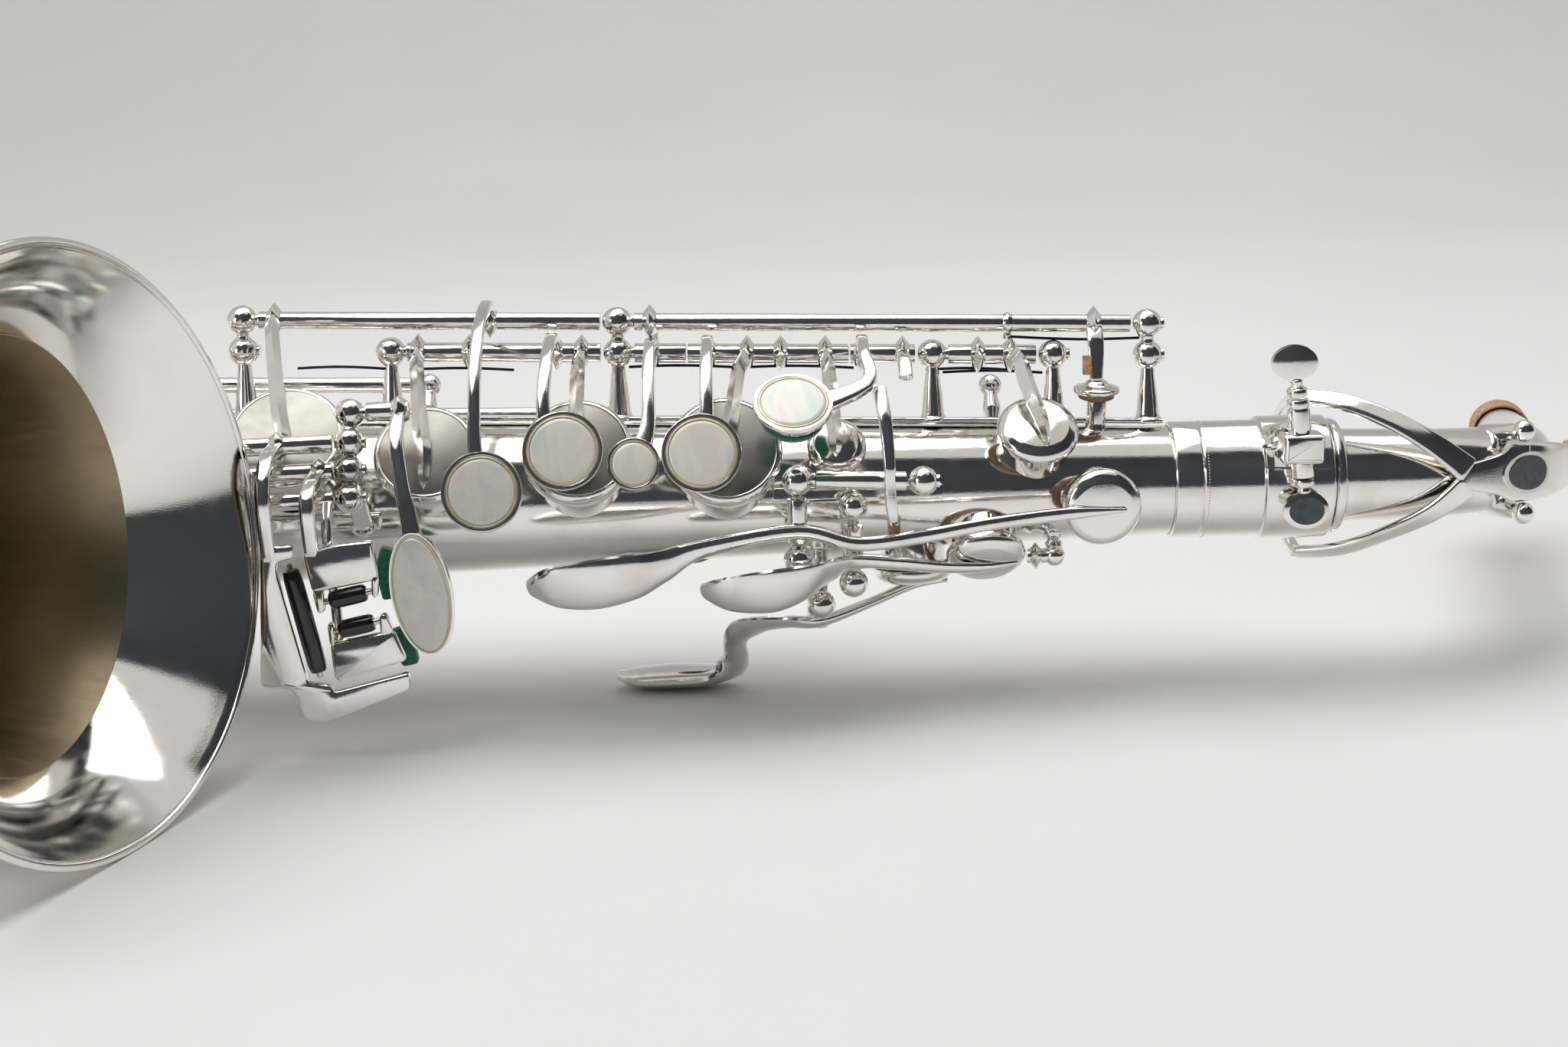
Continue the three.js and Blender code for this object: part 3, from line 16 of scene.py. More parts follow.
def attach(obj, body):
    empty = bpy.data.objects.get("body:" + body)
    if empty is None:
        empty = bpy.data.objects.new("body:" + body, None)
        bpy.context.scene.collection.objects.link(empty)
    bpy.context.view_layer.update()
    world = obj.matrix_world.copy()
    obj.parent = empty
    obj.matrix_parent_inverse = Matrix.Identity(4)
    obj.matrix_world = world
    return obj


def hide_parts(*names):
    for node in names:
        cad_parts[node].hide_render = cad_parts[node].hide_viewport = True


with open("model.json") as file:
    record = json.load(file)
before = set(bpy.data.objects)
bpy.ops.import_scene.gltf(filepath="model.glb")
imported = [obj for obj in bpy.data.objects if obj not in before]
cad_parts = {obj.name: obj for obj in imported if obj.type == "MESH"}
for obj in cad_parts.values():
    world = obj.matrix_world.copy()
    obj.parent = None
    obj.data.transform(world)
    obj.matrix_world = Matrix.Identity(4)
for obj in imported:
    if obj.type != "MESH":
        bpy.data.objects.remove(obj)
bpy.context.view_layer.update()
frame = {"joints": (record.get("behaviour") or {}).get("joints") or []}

MM = 0.001
neck_joint = next(joint for joint in frame["joints"] if joint["name"] == "neck_swivel")
ORIGIN = Vector(neck_joint["pos_m"])      # the neck turns about the drawing's own origin

# ---- driving dimensions, millimetres and degrees -------------------------------------------------
ROLL = 8
TUBE_TOP = -39.5
TUBE_END = -455
TOP_RADIUS = 12.7
TAPER = 0.0288
WALL = 0.8
GAP = 0.3
BOW_CENTRE_X = -465
BOW_RADIUS = 37.5
BOW_TURN = 177
BOW_IN = 25.1
BOW_OUT = 29.7
RIM = (-266.1, 93.8, -0.5)       # along the body, outwards, sideways
KNEE = (-308.9, 77.6, -3.3)
BELL_THROAT = 29.4
FLARE_RISE, FLARE_REACH = 21.1, 12.5         # the sharp flare close to the rim
SWELL_RISE, SWELL_REACH = 10, 75             # the slow swell behind it
RIB_ANGLE = 98
INNER_ROD = 16.4
OUTER_ROD = 23.6
ROD_RADIUS = 2.3
POST_BALL = 3.5
CHIMNEY = 3.2
CUP_DEPTH = 4.6
CUP_LIP = 1.7
OPEN_LIFT = 3
SHUT_LIFT = 0.35
NECK_TURN = 75
NECK_BEND = 38
NECK_STRAIGHT = 14
NECK_ANGLE = 187
COLLAR_X = -3.5                  # where the neck's collar meets the receiver
CAMERA_AT = (-130, -515.2, 120.2)
CAMERA_PITCH, CAMERA_YAW = 76, -1.45
ALONG = Vector((1, 0, 0))


def V(x, y, z):
    return Vector((x, y, z))


def body_radius(x):
    return TOP_RADIUS + TAPER * (TUBE_TOP - x)


def around(x, r, deg):
    """A point at a distance and angle from the body axis."""
    return V(x, -r * cos(radians(deg)), r * sin(radians(deg)))


def above(x, height, deg):
    """A point at a height over the body tube."""
    return around(x, body_radius(x) + height, deg)


def normal_at(deg):
    """The way the conical body faces at an angle."""
    return V(TAPER, -cos(radians(deg)), sin(radians(deg))).normalized()


def normals(*degs):
    return [normal_at(deg) for deg in degs]


def front(x, out, side=0):
    """A point in the tilted plane of body and bell."""
    return around(x, out, ROLL) + around(0, side, ROLL + 90)


def angle_of(p):
    return math.degrees(math.atan2(p.z, -p.y))


# ---- shells: each is a list of corners and a list of faces ---------------------------------------
CORNER_CUT = 1.0                 # how much of a flat plate's corners is rounded away
POLE = 0.001                     # a turned profile closer to its axis than this meets it


def turns(count):
    return [2 * pi * k / count for k in range(count)]


def skin(rings, closed=False):
    """Joins rings of corners into one surface. A ring of one corner is a pole."""
    verts, index = [], []
    for ring in rings:
        index.append(range(len(verts), len(verts) + len(ring)))
        verts += ring
    faces = []
    pairs = list(zip(index, index[1:]))
    if closed:
        pairs.append((index[-1], index[0]))
    for low, high in pairs:
        count = max(len(low), len(high))
        for k in range(count):
            corners = [low[k % len(low)], low[(k + 1) % len(low)], high[(k + 1) % len(high)],
                       high[k % len(high)]]
            faces.append(list(dict.fromkeys(corners)))
    if not closed:
        faces += [list(ring) for ring in (index[0], index[-1]) if len(ring) > 2]
    return verts, faces


def soft(profile, cut=0.35, closed=False):
    """Rounds the corners of a profile."""
    count = len(profile)
    rounded = []
    for i, (r, h) in enumerate(profile):
        if not closed and i in (0, count - 1):
            rounded.append((r, h))
            continue
        arms = []
        for other in (profile[i - 1], profile[(i + 1) % count]):
            length = math.hypot(other[0] - r, other[1] - h)
            share = min(cut, length * 0.45) / length
            arms.append((r + (other[0] - r) * share, h + (other[1] - h) * share))
        middle = [(arms[0][k] + arms[1][k] + 2 * (r, h)[k]) / 4 for k in (0, 1)]
        rounded += [arms[0], tuple(middle), arms[1]]
    return rounded


def lathe(profile, at, direction, sides=40, closed=False, cut=0.35):
    """Turns a profile of (radius, height) pairs about a direction."""
    axis = direction.normalized()
    u = axis.orthogonal().normalized()
    w = axis.cross(u)
    rings = []
    for r, h in soft(profile, cut, closed) if cut else profile:
        centre = at + axis * h
        if r < POLE:
            rings.append([centre])
            continue
        rings.append([centre + (u * cos(a) + w * sin(a)) * r for a in turns(sides)])
    return skin(rings, closed)


def cone(a, b, ra, rb, sides=24):
    return lathe([(0, 0), (ra, 0), (rb, (b - a).length), (0, (b - a).length)], a, b - a, sides,
                 cut=0.25)


def rod(a, b, r, sides=24):
    return cone(a, b, r, r, sides)


def ball(at, r, direction=ALONG):
    profile = [(r * sin(pi * k / 14), -r * cos(pi * k / 14)) for k in range(15)]
    return lathe(profile, at, direction, 24, cut=0)


def spline(values, steps):
    """Catmull-Rom points between the values, which may be numbers or vectors."""
    points = []
    last = len(values) - 1
    for i in range(last):
        p0, p1, p2, p3 = values[max(i - 1, 0)], values[i], values[i + 1], values[min(i + 2, last)]
        for k in range(steps):
            t = k / steps
            points.append(p1 + (p2 - p0) * (t / 2) + (p0 * 2 - p1 * 5 + p2 * 4 - p3) * (t * t / 2)
                          + (p1 * 3 - p0 - p2 * 3 + p3) * (t ** 3 / 2))
    return points + [values[-1]]


def oval_section(power=2, count=16):
    section = []
    for k in range(count):
        a = 2 * pi * (k + 0.5) / count
        c, s = cos(a), sin(a)
        section.append((math.copysign(abs(c) ** (2 / power), c),
                        math.copysign(abs(s) ** (2 / power), s)))
    return section


ROUND = oval_section()
FLAT = oval_section(4, 20)
RIDGE = [(1, -0.7), (1.05, -0.2), (0.55, 0.45), (0, 1.15), (-0.55, 0.45), (-1.05, -0.2), (-1, -0.7),
         (0, -0.85)]


def loft(points, widths, depths, flat, section=FLAT, steps=5):
    """A bar bent smoothly through points, with a half width and half depth at each of them."""
    def listed(value):
        return list(value) if isinstance(value, (list, tuple)) else [value] * len(points)

    path = spline(points, steps)
    wide, deep = spline(listed(widths), steps), spline(listed(depths), steps)
    flats = spline(listed(flat), steps)
    rings = []
    last = len(path) - 1
    for i, p in enumerate(path):
        ahead = (path[min(i + 1, last)] - path[max(i - 1, 0)]).normalized()
        depth = (flats[i] - ahead * flats[i].dot(ahead)).normalized()
        width = ahead.cross(depth)

        def ring(shift=0.0, scale=1.0):
            centre = p + ahead * shift * deep[i]
            return [centre + width * (wide[i] * scale * x) + depth * (deep[i] * scale * y) for x,
                    y in section]

        if i == 0:
            rings += [ring(-0.5, 0.5), ring(-0.4, 0.82)]
        rings.append(ring())
        if i == last:
            rings += [ring(0.4, 0.82), ring(0.5, 0.5)]
    return skin(rings)


def hose(centres, outer, inner, sides=72):
    """A hollow tube along a path that lies in the plane of body and bell."""
    across = around(0, 1, ROLL + 90)
    out_rings, in_rings = [], []
    last = len(centres) - 1
    for i, p in enumerate(centres):
        ahead = (centres[min(i + 1, last)] - centres[max(i - 1, 0)]).normalized()
        depth = (across - ahead * across.dot(ahead)).normalized()
        width = ahead.cross(depth)
        spokes = [width * cos(a) + depth * sin(a) for a in turns(sides)]
        out_rings.append([p + s * outer[i] for s in spokes])
        in_rings.append([p + s * inner[i] for s in spokes])
    return skin(out_rings + in_rings[::-1], closed=True)


def slab(outline, thickness, at, facing, up, bevel):
    """A flat plate of the given outline with rounded corners and softened edges."""
    n = facing.normalized()
    v = (up - n * up.dot(n)).normalized()
    u = v.cross(n)
    shape = soft(outline, CORNER_CUT, closed=True)
    count = len(shape)
    pairs = zip(shape, shape[1:] + shape[:1])
    turn = math.copysign(1, sum(a[0] * b[1] - b[0] * a[1] for a, b in pairs))

    def inset(amount):
        moved = []
        for i in range(count):
            ax, ay = shape[i - 1]
            bx, by = shape[(i + 1) % count]
            length = math.hypot(bx - ax, by - ay)
            nx, ny = -(by - ay) / length * turn, (bx - ax) / length * turn
            moved.append(at + u * (shape[i][0] + nx * amount) + v * (shape[i][1] + ny * amount))
        return moved

    rings = []
    for amount, height in [(bevel, 0), (0, bevel), (0, thickness - bevel),
                           (bevel * 0.35, thickness - bevel * 0.35),
                           (bevel, thickness)]:
        rings.append([p + n * height for p in inset(amount)])
    return skin(rings)


# ---- materials -----------------------------------------------------------------------------------
def new_material(name, color, roughness, metallic=0.0, **sockets):
    material = bpy.data.materials.new(name)
    material.use_nodes = True
    shader = material.node_tree.nodes["Principled BSDF"]
    shader.inputs["Base Color"].default_value = (*color, 1)
    shader.inputs["Roughness"].default_value = roughness
    shader.inputs["Metallic"].default_value = metallic
    for label, value in sockets.items():
        shader.inputs[label.replace("_", " ")].default_value = value
    return material


def noise(material, scale, detail=4.0, stretch=(1, 1, 1), distortion=0.0):
    nodes, links = material.node_tree.nodes, material.node_tree.links
    place = nodes.new("ShaderNodeTexCoord")
    mapping = nodes.new("ShaderNodeMapping")
    mapping.inputs["Scale"].default_value = stretch
    texture = nodes.new("ShaderNodeTexNoise")
    texture.inputs["Scale"].default_value = scale
    texture.inputs["Detail"].default_value = detail
    texture.inputs["Distortion"].default_value = distortion
    links.new(place.outputs["Object"], mapping.inputs["Vector"])
    links.new(mapping.outputs["Vector"], texture.inputs["Vector"])
    return texture.outputs["Fac"]


def ramp(material, value, stops, socket):
    nodes, links = material.node_tree.nodes, material.node_tree.links
    colors = nodes.new("ShaderNodeValToRGB")
    elements = colors.color_ramp.elements
    while len(elements) < len(stops):
        elements.new(0.5)
    for element, (position, color) in zip(elements, stops):
        element.position = position
        element.color = (*color, 1) if isinstance(color, tuple) else (color, color, color, 1)
    links.new(value, colors.inputs["Fac"])
    links.new(colors.outputs["Color"], nodes["Principled BSDF"].inputs[socket])


def bump(material, value, strength, distance):
    nodes, links = material.node_tree.nodes, material.node_tree.links
    node = nodes.new("ShaderNodeBump")
    node.inputs["Strength"].default_value = strength
    node.inputs["Distance"].default_value = distance
    links.new(value, node.inputs["Height"])
    links.new(node.outputs["Normal"], nodes["Principled BSDF"].inputs["Normal"])


def plated(name, bright, dull, rough_low, rough_high, scratch=0.05):
    """Silver plate: cloudy tarnish, uneven polish and fine hair scratches."""
    material = new_material(name, bright, rough_low, 1.0)
    ramp(material, noise(material, 70, 6, distortion=0.6),
         [(0.30, dull), (0.48, bright), (1.0, bright)], "Base Color")
    ramp(material, noise(material, 260, 5), [(0.35, rough_low), (0.75, rough_high)], "Roughness")
    bump(material, noise(material, 900, 3, (1, 5, 5)), scratch, 0.0002)
    return material


SILVER = plated("polished_silver", (0.90, 0.88, 0.84), (0.80, 0.76, 0.69), 0.07, 0.16)
BELL_SILVER = plated("bell_silver", (0.90, 0.88, 0.84), (0.86, 0.84, 0.79), 0.05, 0.12, 0.03)
SATIN = plated("satin_silver", (0.37, 0.355, 0.32), (0.31, 0.29, 0.25), 0.34, 0.44, 0.10)
AGED = plated("aged_plate", (0.72, 0.69, 0.61), (0.55, 0.50, 0.40), 0.16, 0.34, 0.10)

LINING = new_material("bell_lining", (0.46, 0.38, 0.26), 0.4, 1.0)
ramp(LINING, noise(LINING, 18, 4, (1, 2.0, 2.0), 0.4),
     [(0.25, (0.30, 0.24, 0.15)), (0.55, (0.42, 0.34, 0.22)), (0.80, (0.50, 0.43, 0.31))], "Base Color")
ramp(LINING, noise(LINING, 90, 6, (0.3, 5, 5)), [(0.3, 0.36), (0.7, 0.46)], "Roughness")
bump(LINING, noise(LINING, 500, 4, (0.3, 4, 4)), 0.06, 0.0003)

PEARL = new_material("mother_of_pearl", (0.86, 0.84, 0.76), 0.16, Coat_Weight=0.7, Coat_Roughness=0.04)
ramp(PEARL, noise(PEARL, 70, 3, (1.6, 0.6, 0.9), 1.2),
     [(0.30, (0.74, 0.80, 0.74)), (0.42, (0.88, 0.89, 0.80)), (0.52, (0.95, 0.92, 0.82)),
      (0.62, (0.92, 0.83, 0.74)), (0.75, (0.84, 0.87, 0.86))], "Base Color")
bump(PEARL, noise(PEARL, 160, 2), 0.04, 0.0002)

BLACK = new_material("black_roller", (0.012, 0.012, 0.013), 0.14, Coat_Weight=0.4)
ramp(BLACK, noise(BLACK, 400, 4), [(0.3, 0.1), (0.8, 0.24)], "Roughness")

CORK = new_material("cork", (0.55, 0.36, 0.20), 0.85)
ramp(CORK, noise(CORK, 900, 6, distortion=0.5),
     [(0.36, (0.24, 0.13, 0.07)), (0.5, (0.52, 0.32, 0.18)), (0.7, (0.66, 0.45, 0.28))], "Base Color")
bump(CORK, noise(CORK, 1400, 5), 0.5, 0.0004)

LEATHER = new_material("pad_leather", (0.30, 0.16, 0.08), 0.55)
ramp(LEATHER, noise(LEATHER, 300, 5), [(0.3, (0.20, 0.10, 0.05)), (0.7, (0.40, 0.23, 0.12))],
     "Base Color")
bump(LEATHER, noise(LEATHER, 1600, 3), 0.3, 0.0002)

FELT = new_material("green_felt", (0.01, 0.16, 0.09), 0.95, Sheen_Weight=0.6)
ramp(FELT, noise(FELT, 1500, 6), [(0.3, (0.004, 0.09, 0.045)), (0.7, (0.02, 0.24, 0.13))], "Base Color")
bump(FELT, noise(FELT, 2500, 4), 0.8, 0.0005)

BLUED = new_material("blued_steel", (0.03, 0.035, 0.05), 0.25, 1.0)
ramp(BLUED, noise(BLUED, 500, 4), [(0.3, (0.015, 0.018, 0.03)), (0.7, (0.05, 0.055, 0.08))],
     "Base Color")

# Dark enamel for the neck badge and the screw face. The same dark material is also painted shade in the
# tone holes and in the clamp slit.
ENAMEL_AND_PAINTED_SHADE = new_material("dark_enamel_and_painted_shade", (0.03, 0.045, 0.055), 0.22, Coat_Weight=0.5)
ramp(ENAMEL_AND_PAINTED_SHADE, noise(ENAMEL_AND_PAINTED_SHADE, 500, 5), [(0.3, (0.02, 0.03, 0.04)), (0.8, (0.07, 0.09, 0.10))],
     "Base Color")

GILT = new_material("gilt_edge", (0.82, 0.74, 0.50), 0.35, 0.35)
ramp(GILT, noise(GILT, 400, 4), [(0.3, (0.72, 0.62, 0.38)), (0.7, (0.88, 0.82, 0.62))], "Base Color")


# ---- pieces --------------------------------------------------------------------------------------
def make(name, shells, look, body="body", node=None, sharp=38):
    """One piece from its shells. It rides on a body and may stand for a CAD node."""
    verts, faces = [], []
    for corners, sides in shells:
        start = len(verts)
        verts += [ORIGIN + p * MM for p in corners]
        faces += [[start + k for k in side] for side in sides]
    mesh = bpy.data.meshes.new(name)
    mesh.from_pydata(verts, [], faces)
    sheet = bmesh.new()
    sheet.from_mesh(mesh)
    bmesh.ops.recalc_face_normals(sheet, faces=sheet.faces)
    sheet.to_mesh(mesh)
    sheet.free()
    mesh.polygons.foreach_set("use_smooth", [True] * len(mesh.polygons))
    mesh.set_sharp_from_angle(angle=radians(sharp))
    mesh.materials.append(look)
    piece = bpy.data.objects.new(name, mesh)
    bpy.context.scene.collection.objects.link(piece)
    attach(piece, body)
    if node:
        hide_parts(node)
    return piece


def key(name, shells, extras=()):
    """A moving key and what is fixed to it, such as pads and felts."""
    make(name + "_metal", shells, SILVER, name, name)
    for label, look, parts in extras:
        make(f"{name}_{label}", parts, look, name)


# ---- tone holes and cups -------------------------------------------------------------------------
HOLES = {
    "high_e": dict(x=-72, deg=51, r=7.6, wall=3.6),
    "palm_d": dict(x=-58, deg=-5, r=7.2),
    "palm_e_flat": dict(x=-84, deg=-44, r=7.4),
    "palm_f": dict(x=-100, deg=-84, r=7.6),
    "vent": dict(x=-118, deg=37, r=5),
    "b": dict(x=-143, deg=34, r=11.2),
    "c": dict(x=-176, deg=35, r=10.8),
    "g_sharp": dict(x=-210, deg=37, r=10.2),
    "g": dict(x=-241, deg=44, r=11.6),
    "side_c": dict(x=-152, deg=172, r=8),
    "side_b_flat": dict(x=-186, deg=172, r=8.6),
    "f_sharp": dict(x=-284, deg=60, r=10.3),
    "f": dict(x=-315, deg=60, r=10.9),
    "e": dict(x=-348, deg=60, r=11.5),
    "d": dict(x=-383, deg=60, r=12.1),
    "c_sharp": dict(x=-428, deg=-92, r=12.4),
    "e_flat": dict(x=-430, deg=152, r=12.6),
}


def wall_of(hole):
    return hole.get("wall", CHIMNEY)


def chimney(at, n, r, wall, body_r):
    """The drawn collar of a tone hole, from under the body's surface to its rolled edge."""
    drop = body_r - math.sqrt(max(body_r ** 2 - r ** 2, 1)) + 1.5
    profile = [(r - 0.9, -drop), (r, -drop), (r, wall - 0.5), (r + 0.15, wall - 0.2), (r, wall),
               (r - 0.9, wall)]
    return lathe(profile, at, n, 48, closed=True, cut=0.2)


def cup_shells(at, n, r, domed=False):
    """A key cup as its polished shell, its brushed face and its leather pad."""
    if domed:
        shell = [(0, 1.2), (r - 0.4, 1.2), (r - 0.4, 0.9), (r, 0.9), (r, 2.4), (r - 0.7, 3.4),
                 (r * 0.75, 4.3),
                 (r * 0.4, 4.75), (0, 4.9)]
        face = [(0, 4.4), (0.5, 4.4), (0.5, 4.6), (0, 4.6)]
    else:
        shell = [(0, 1.2), (r - 0.4, 1.2), (r - 0.4, 0.8), (r, 0.8), (r, 3.2), (r - 0.9, 4.3),
                 (r - 1.5, 4.35),
                 (r - 1.6, 4.15), (0, 4.15)]
        face = [(0, 3.9), (r - 1.7, 3.9), (r - 1.7, 4.4), (0, 4.45)]
    pad = [(0, 0.05), (r - 3.4, 0), (r - 2.9, 0.3), (r - 2.3, 0), (r - 0.8, 0.1), (r - 0.6, 0.6),
           (r - 0.7, 1.4),
           (0, 1.4)]
    return lathe(shell, at, n, 56), lathe(face, at, n, 56, cut=0.1), lathe(pad, at, n, 48, cut=0.2)


def seat_of(hole, lift):
    """Where the pad of a tone hole sits when its cup is lifted."""
    return above(hole["x"], 0, hole["deg"]) + normal_at(hole["deg"]) * (wall_of(hole) + lift)


def cup(hole, lift, domed=False):
    return cup_shells(seat_of(hole, lift), normal_at(hole["deg"]), hole["r"] + CUP_LIP, domed)


def cup_top(hole, lift):
    return body_radius(hole["x"]) + wall_of(hole) + lift + CUP_DEPTH


def cup_extras(cups):
    return [("pads", LEATHER, [c[2] for c in cups]), ("cup_faces", SATIN, [c[1] for c in cups])]


# ---- body tube, bow and bell ---------------------------------------------------------------------
PIP = dict(x=-57, deg=88, r=2.3, height=6.2)


def body_tube():
    low, high = body_radius(TUBE_END), TOP_RADIUS
    wall = [(low - WALL, TUBE_END), (low, TUBE_END), (high, TUBE_TOP), (high - WALL, TUBE_TOP)]
    shells = [lathe(wall, V(0, 0, 0), ALONG, 96, closed=True, cut=0.1)]
    for hole in HOLES.values():
        at = above(hole["x"], 0, hole["deg"])
        shells.append(chimney(at, normal_at(hole["deg"]), hole["r"], wall_of(hole),
                              body_radius(hole["x"])))
    pip = [(1, -1), (PIP["r"] + 0.8, -1), (PIP["r"], 0.8), (PIP["r"], PIP["height"]),
           (1, PIP["height"])]
    shells.append(lathe(pip, above(PIP["x"], 0, PIP["deg"]), normal_at(PIP["deg"]), 24, closed=True))
    make("body_tube_shell", shells, SILVER, node="body_tube")
    # Painted shade: dark discs stand in for the shadowed openings under the tone holes, which the body
    # wall doesn't cut.
    dark = []
    for hole in HOLES.values():
        at = above(hole["x"], 0, hole["deg"])
        disc = [(0, 0.2), (hole["r"] - 0.92, 0.2), (hole["r"] - 0.92, 0.5), (0, 0.5)]
        dark.append(lathe(disc, at, normal_at(hole["deg"]), 32, cut=0))
    make("tone_hole_shadows", dark, ENAMEL_AND_PAINTED_SHADE)


def bow_centre(deg):
    """The bow's centre line."""
    return front(BOW_CENTRE_X - BOW_RADIUS * sin(radians(deg)),
                 BOW_RADIUS - BOW_RADIUS * cos(radians(deg)))


def bell_control():
    return bow_centre(BOW_TURN) + V(1 + 2 * GAP, 0, 0), front(*KNEE), front(*RIM)


def bell_at(t):
    a, b, c = bell_control()
    return a * (1 - t) ** 2 + b * (2 * t * (1 - t)) + c * t * t


BELL_TABLE = [bell_at(k / 400) for k in range(401)]
BELL_LENGTHS = [0.0]
for before, after in zip(BELL_TABLE, BELL_TABLE[1:]):
    BELL_LENGTHS.append(BELL_LENGTHS[-1] + (after - before).length)
BELL_LENGTH = BELL_LENGTHS[-1]


def bell_point(u):
    """A point on the bell's centre line at a share of its length, and the way the line runs there."""
    target = u * BELL_LENGTH
    k = next((i for i, s in enumerate(BELL_LENGTHS) if s >= target), 400)
    k = max(k, 1)
    share = (target - BELL_LENGTHS[k - 1]) / (BELL_LENGTHS[k] - BELL_LENGTHS[k - 1])
    return BELL_TABLE[k - 1].lerp(BELL_TABLE[k],
                                  share), (BELL_TABLE[k] - BELL_TABLE[k - 1]).normalized()


def bell_radius(from_rim):
    """The bell's radius at a distance back from its rim."""
    flare = FLARE_RISE * math.exp(-from_rim / FLARE_REACH)
    return BELL_THROAT + flare + SWELL_RISE * math.exp(-from_rim / SWELL_REACH)


def bow():
    turns = [k * BOW_TURN / 48 for k in range(49)]
    centres = [front(TUBE_END - GAP, 0)] + [bow_centre(t) for t in turns]
    radii = [BOW_IN] + [BOW_IN + (BOW_OUT - BOW_IN) * t / BOW_TURN for t in turns]
    centres.append(centres[-1] + V(1, 0, 0))
    radii.append(BOW_OUT)
    make("bow_shell", [hose(centres, radii, [r - WALL for r in radii])], SILVER, node="bow")
    collar = bow_centre(BOW_TURN)
    make("bell_joint_band", [lathe([(BOW_OUT + 0.1, -3.2), (BOW_OUT + 0.8, -2.6), (BOW_OUT + 0.8, 2.6),
                                    (BOW_OUT + 0.1, 3.2)], collar, V(1, 0.02, 0), 72, closed=True,
                                   cut=0.3)], SILVER)


BELL_HOLES = [dict(u=0.16, r=14), dict(u=0.42, r=14.6)]
FLARE_DEPTH = 14.5               # how far down the polished flare reaches inside


def bell_seat(u, lift):
    """A point over the bell, with the way out of it and the way along it."""
    at, ahead = bell_point(u)
    up = around(0, 1, ROLL + 90)
    n = (up - ahead * up.dot(ahead)).normalized()
    return at + n * (bell_radius((1 - u) * BELL_LENGTH) + lift), n, ahead


def bell():
    depths = [0, 0.5, 1, 1.6, 2.3, 3.1, 4, 5, 6.2, 7.6, 9, 10.7, 12.5, 14.5, 17, 20, 24, 29, 36, 45,
              57, 72, 90, 110, 130]
    depths += [150, 175, BELL_LENGTH - 1, BELL_LENGTH]
    depths = [d for d in depths if d <= BELL_LENGTH][::-1]
    centres = [bell_point(1 - d / BELL_LENGTH)[0] for d in depths]
    outer = [bell_radius(d) for d in depths]
    shells = [hose(centres, outer, [r - 1 for r in outer], 144)]
    rim, ahead = bell_point(1)
    edge = bell_radius(0) - 0.45
    bead = [(edge + 0.9 * cos(a), 0.9 * sin(a)) for a in turns(12)]
    shells.append(lathe(bead, rim - ahead * 0.5, ahead, 144, closed=True, cut=0))
    for hole in BELL_HOLES:
        at, n, _ = bell_seat(hole["u"], 0)
        r = bell_radius((1 - hole["u"]) * BELL_LENGTH)
        shells.append(chimney(at, n, hole["r"], CHIMNEY, r))
    make("bell_shell", shells, BELL_SILVER, node="bell")

    inner_depths = [d for d in [FLARE_DEPTH + k * 4 for k in range(60)] if d < BELL_LENGTH - 0.5][::-1]
    lining = [bell_point(1 - d / BELL_LENGTH)[0] for d in inner_depths]
    radii = [bell_radius(d) for d in inner_depths]
    make("bell_lining", [hose(lining, [r - 1.02 for r in radii], [r - 1.3 for r in radii], 96)], LINING)


def bow_ring():
    ring = [(25.6, 0), (28, 0.5), (28.6, 3), (28, 5.5), (25.6, 6)]
    make("bow_ring_band", [lathe(ring, V(TUBE_END - 3, 0, 0), ALONG, 96, closed=True, cut=0.6)],
         SILVER, node="bow_ring")


# ---- posts, ribs and rods ------------------------------------------------------------------------
def post(at, foot, balls, r_foot=3.4, r_ball=POST_BALL):
    """A turned post: a ringed flaring foot, a slim waist and one ball for each rod it carries."""
    reach = (balls[0] - foot).length
    waist = 1.55
    profile = [(0, -1.2), (r_foot + 0.2, -1.2), (r_foot + 0.2, -0.3), (r_foot - 0.5, 0.1),
               (r_foot - 0.7, 0.8),
               (waist + 0.7, reach * 0.35), (waist + 0.1, reach * 0.7), (waist, reach)]
    shells = [lathe(profile + [(0, reach)], foot, balls[0] - foot, 28, cut=0.3)]
    shells += [ball(b, r_ball) for b in balls]
    for low, high in zip(balls, balls[1:]):
        mid = low.lerp(high, 0.5)
        ahead = (high - low).normalized()
        shells.append(lathe([(0, -1.8), (2.2, -1.8), (1.5, 0), (2.2, 1.8), (0, 1.8)], mid, ahead, 20,
                            cut=0.2))
    if at:
        for b in balls:
            shells.append(lathe([(0, 0), (1.5, 0), (1.5, 0.7), (0, 0.8)], b + at * (r_ball - 0.35), at,
                                16, cut=0.15))
    return shells


def rib_post(x, deg, heights, r_foot=3.4, at=ALONG):
    return post(at, above(x, 1.8, deg), [above(x, h, deg) for h in heights], r_foot)


def strip(x0, x1, deg, half_width, thickness=1.3):
    """A flat rib that follows the body."""
    points = [above(x0 + (x1 - x0) * k / 6, 0.5 + thickness / 2, deg) for k in range(7)]
    return loft(points, half_width, thickness / 2, normal_at(deg), steps=1)


def collar(at, axis, r, spread=2.1, half=1.7):
    """A pointed collar where an arm is brazed to its rod."""
    return lathe([(0, -half), (r, -half), (r + spread, 0), (r, half), (0, half)], at, axis, 28,
                 cut=0.12)


def rod_at(x, height=INNER_ROD, deg=RIB_ANGLE):
    return above(x, height, deg)


def rod_axis(deg=RIB_ANGLE):
    return V(1, TAPER * cos(radians(deg)), -TAPER * sin(radians(deg)))


def key_tube(x0, x1, height=INNER_ROD, deg=RIB_ANGLE, r=ROD_RADIUS):
    return rod(rod_at(x0, height, deg), rod_at(x1, height, deg), r)


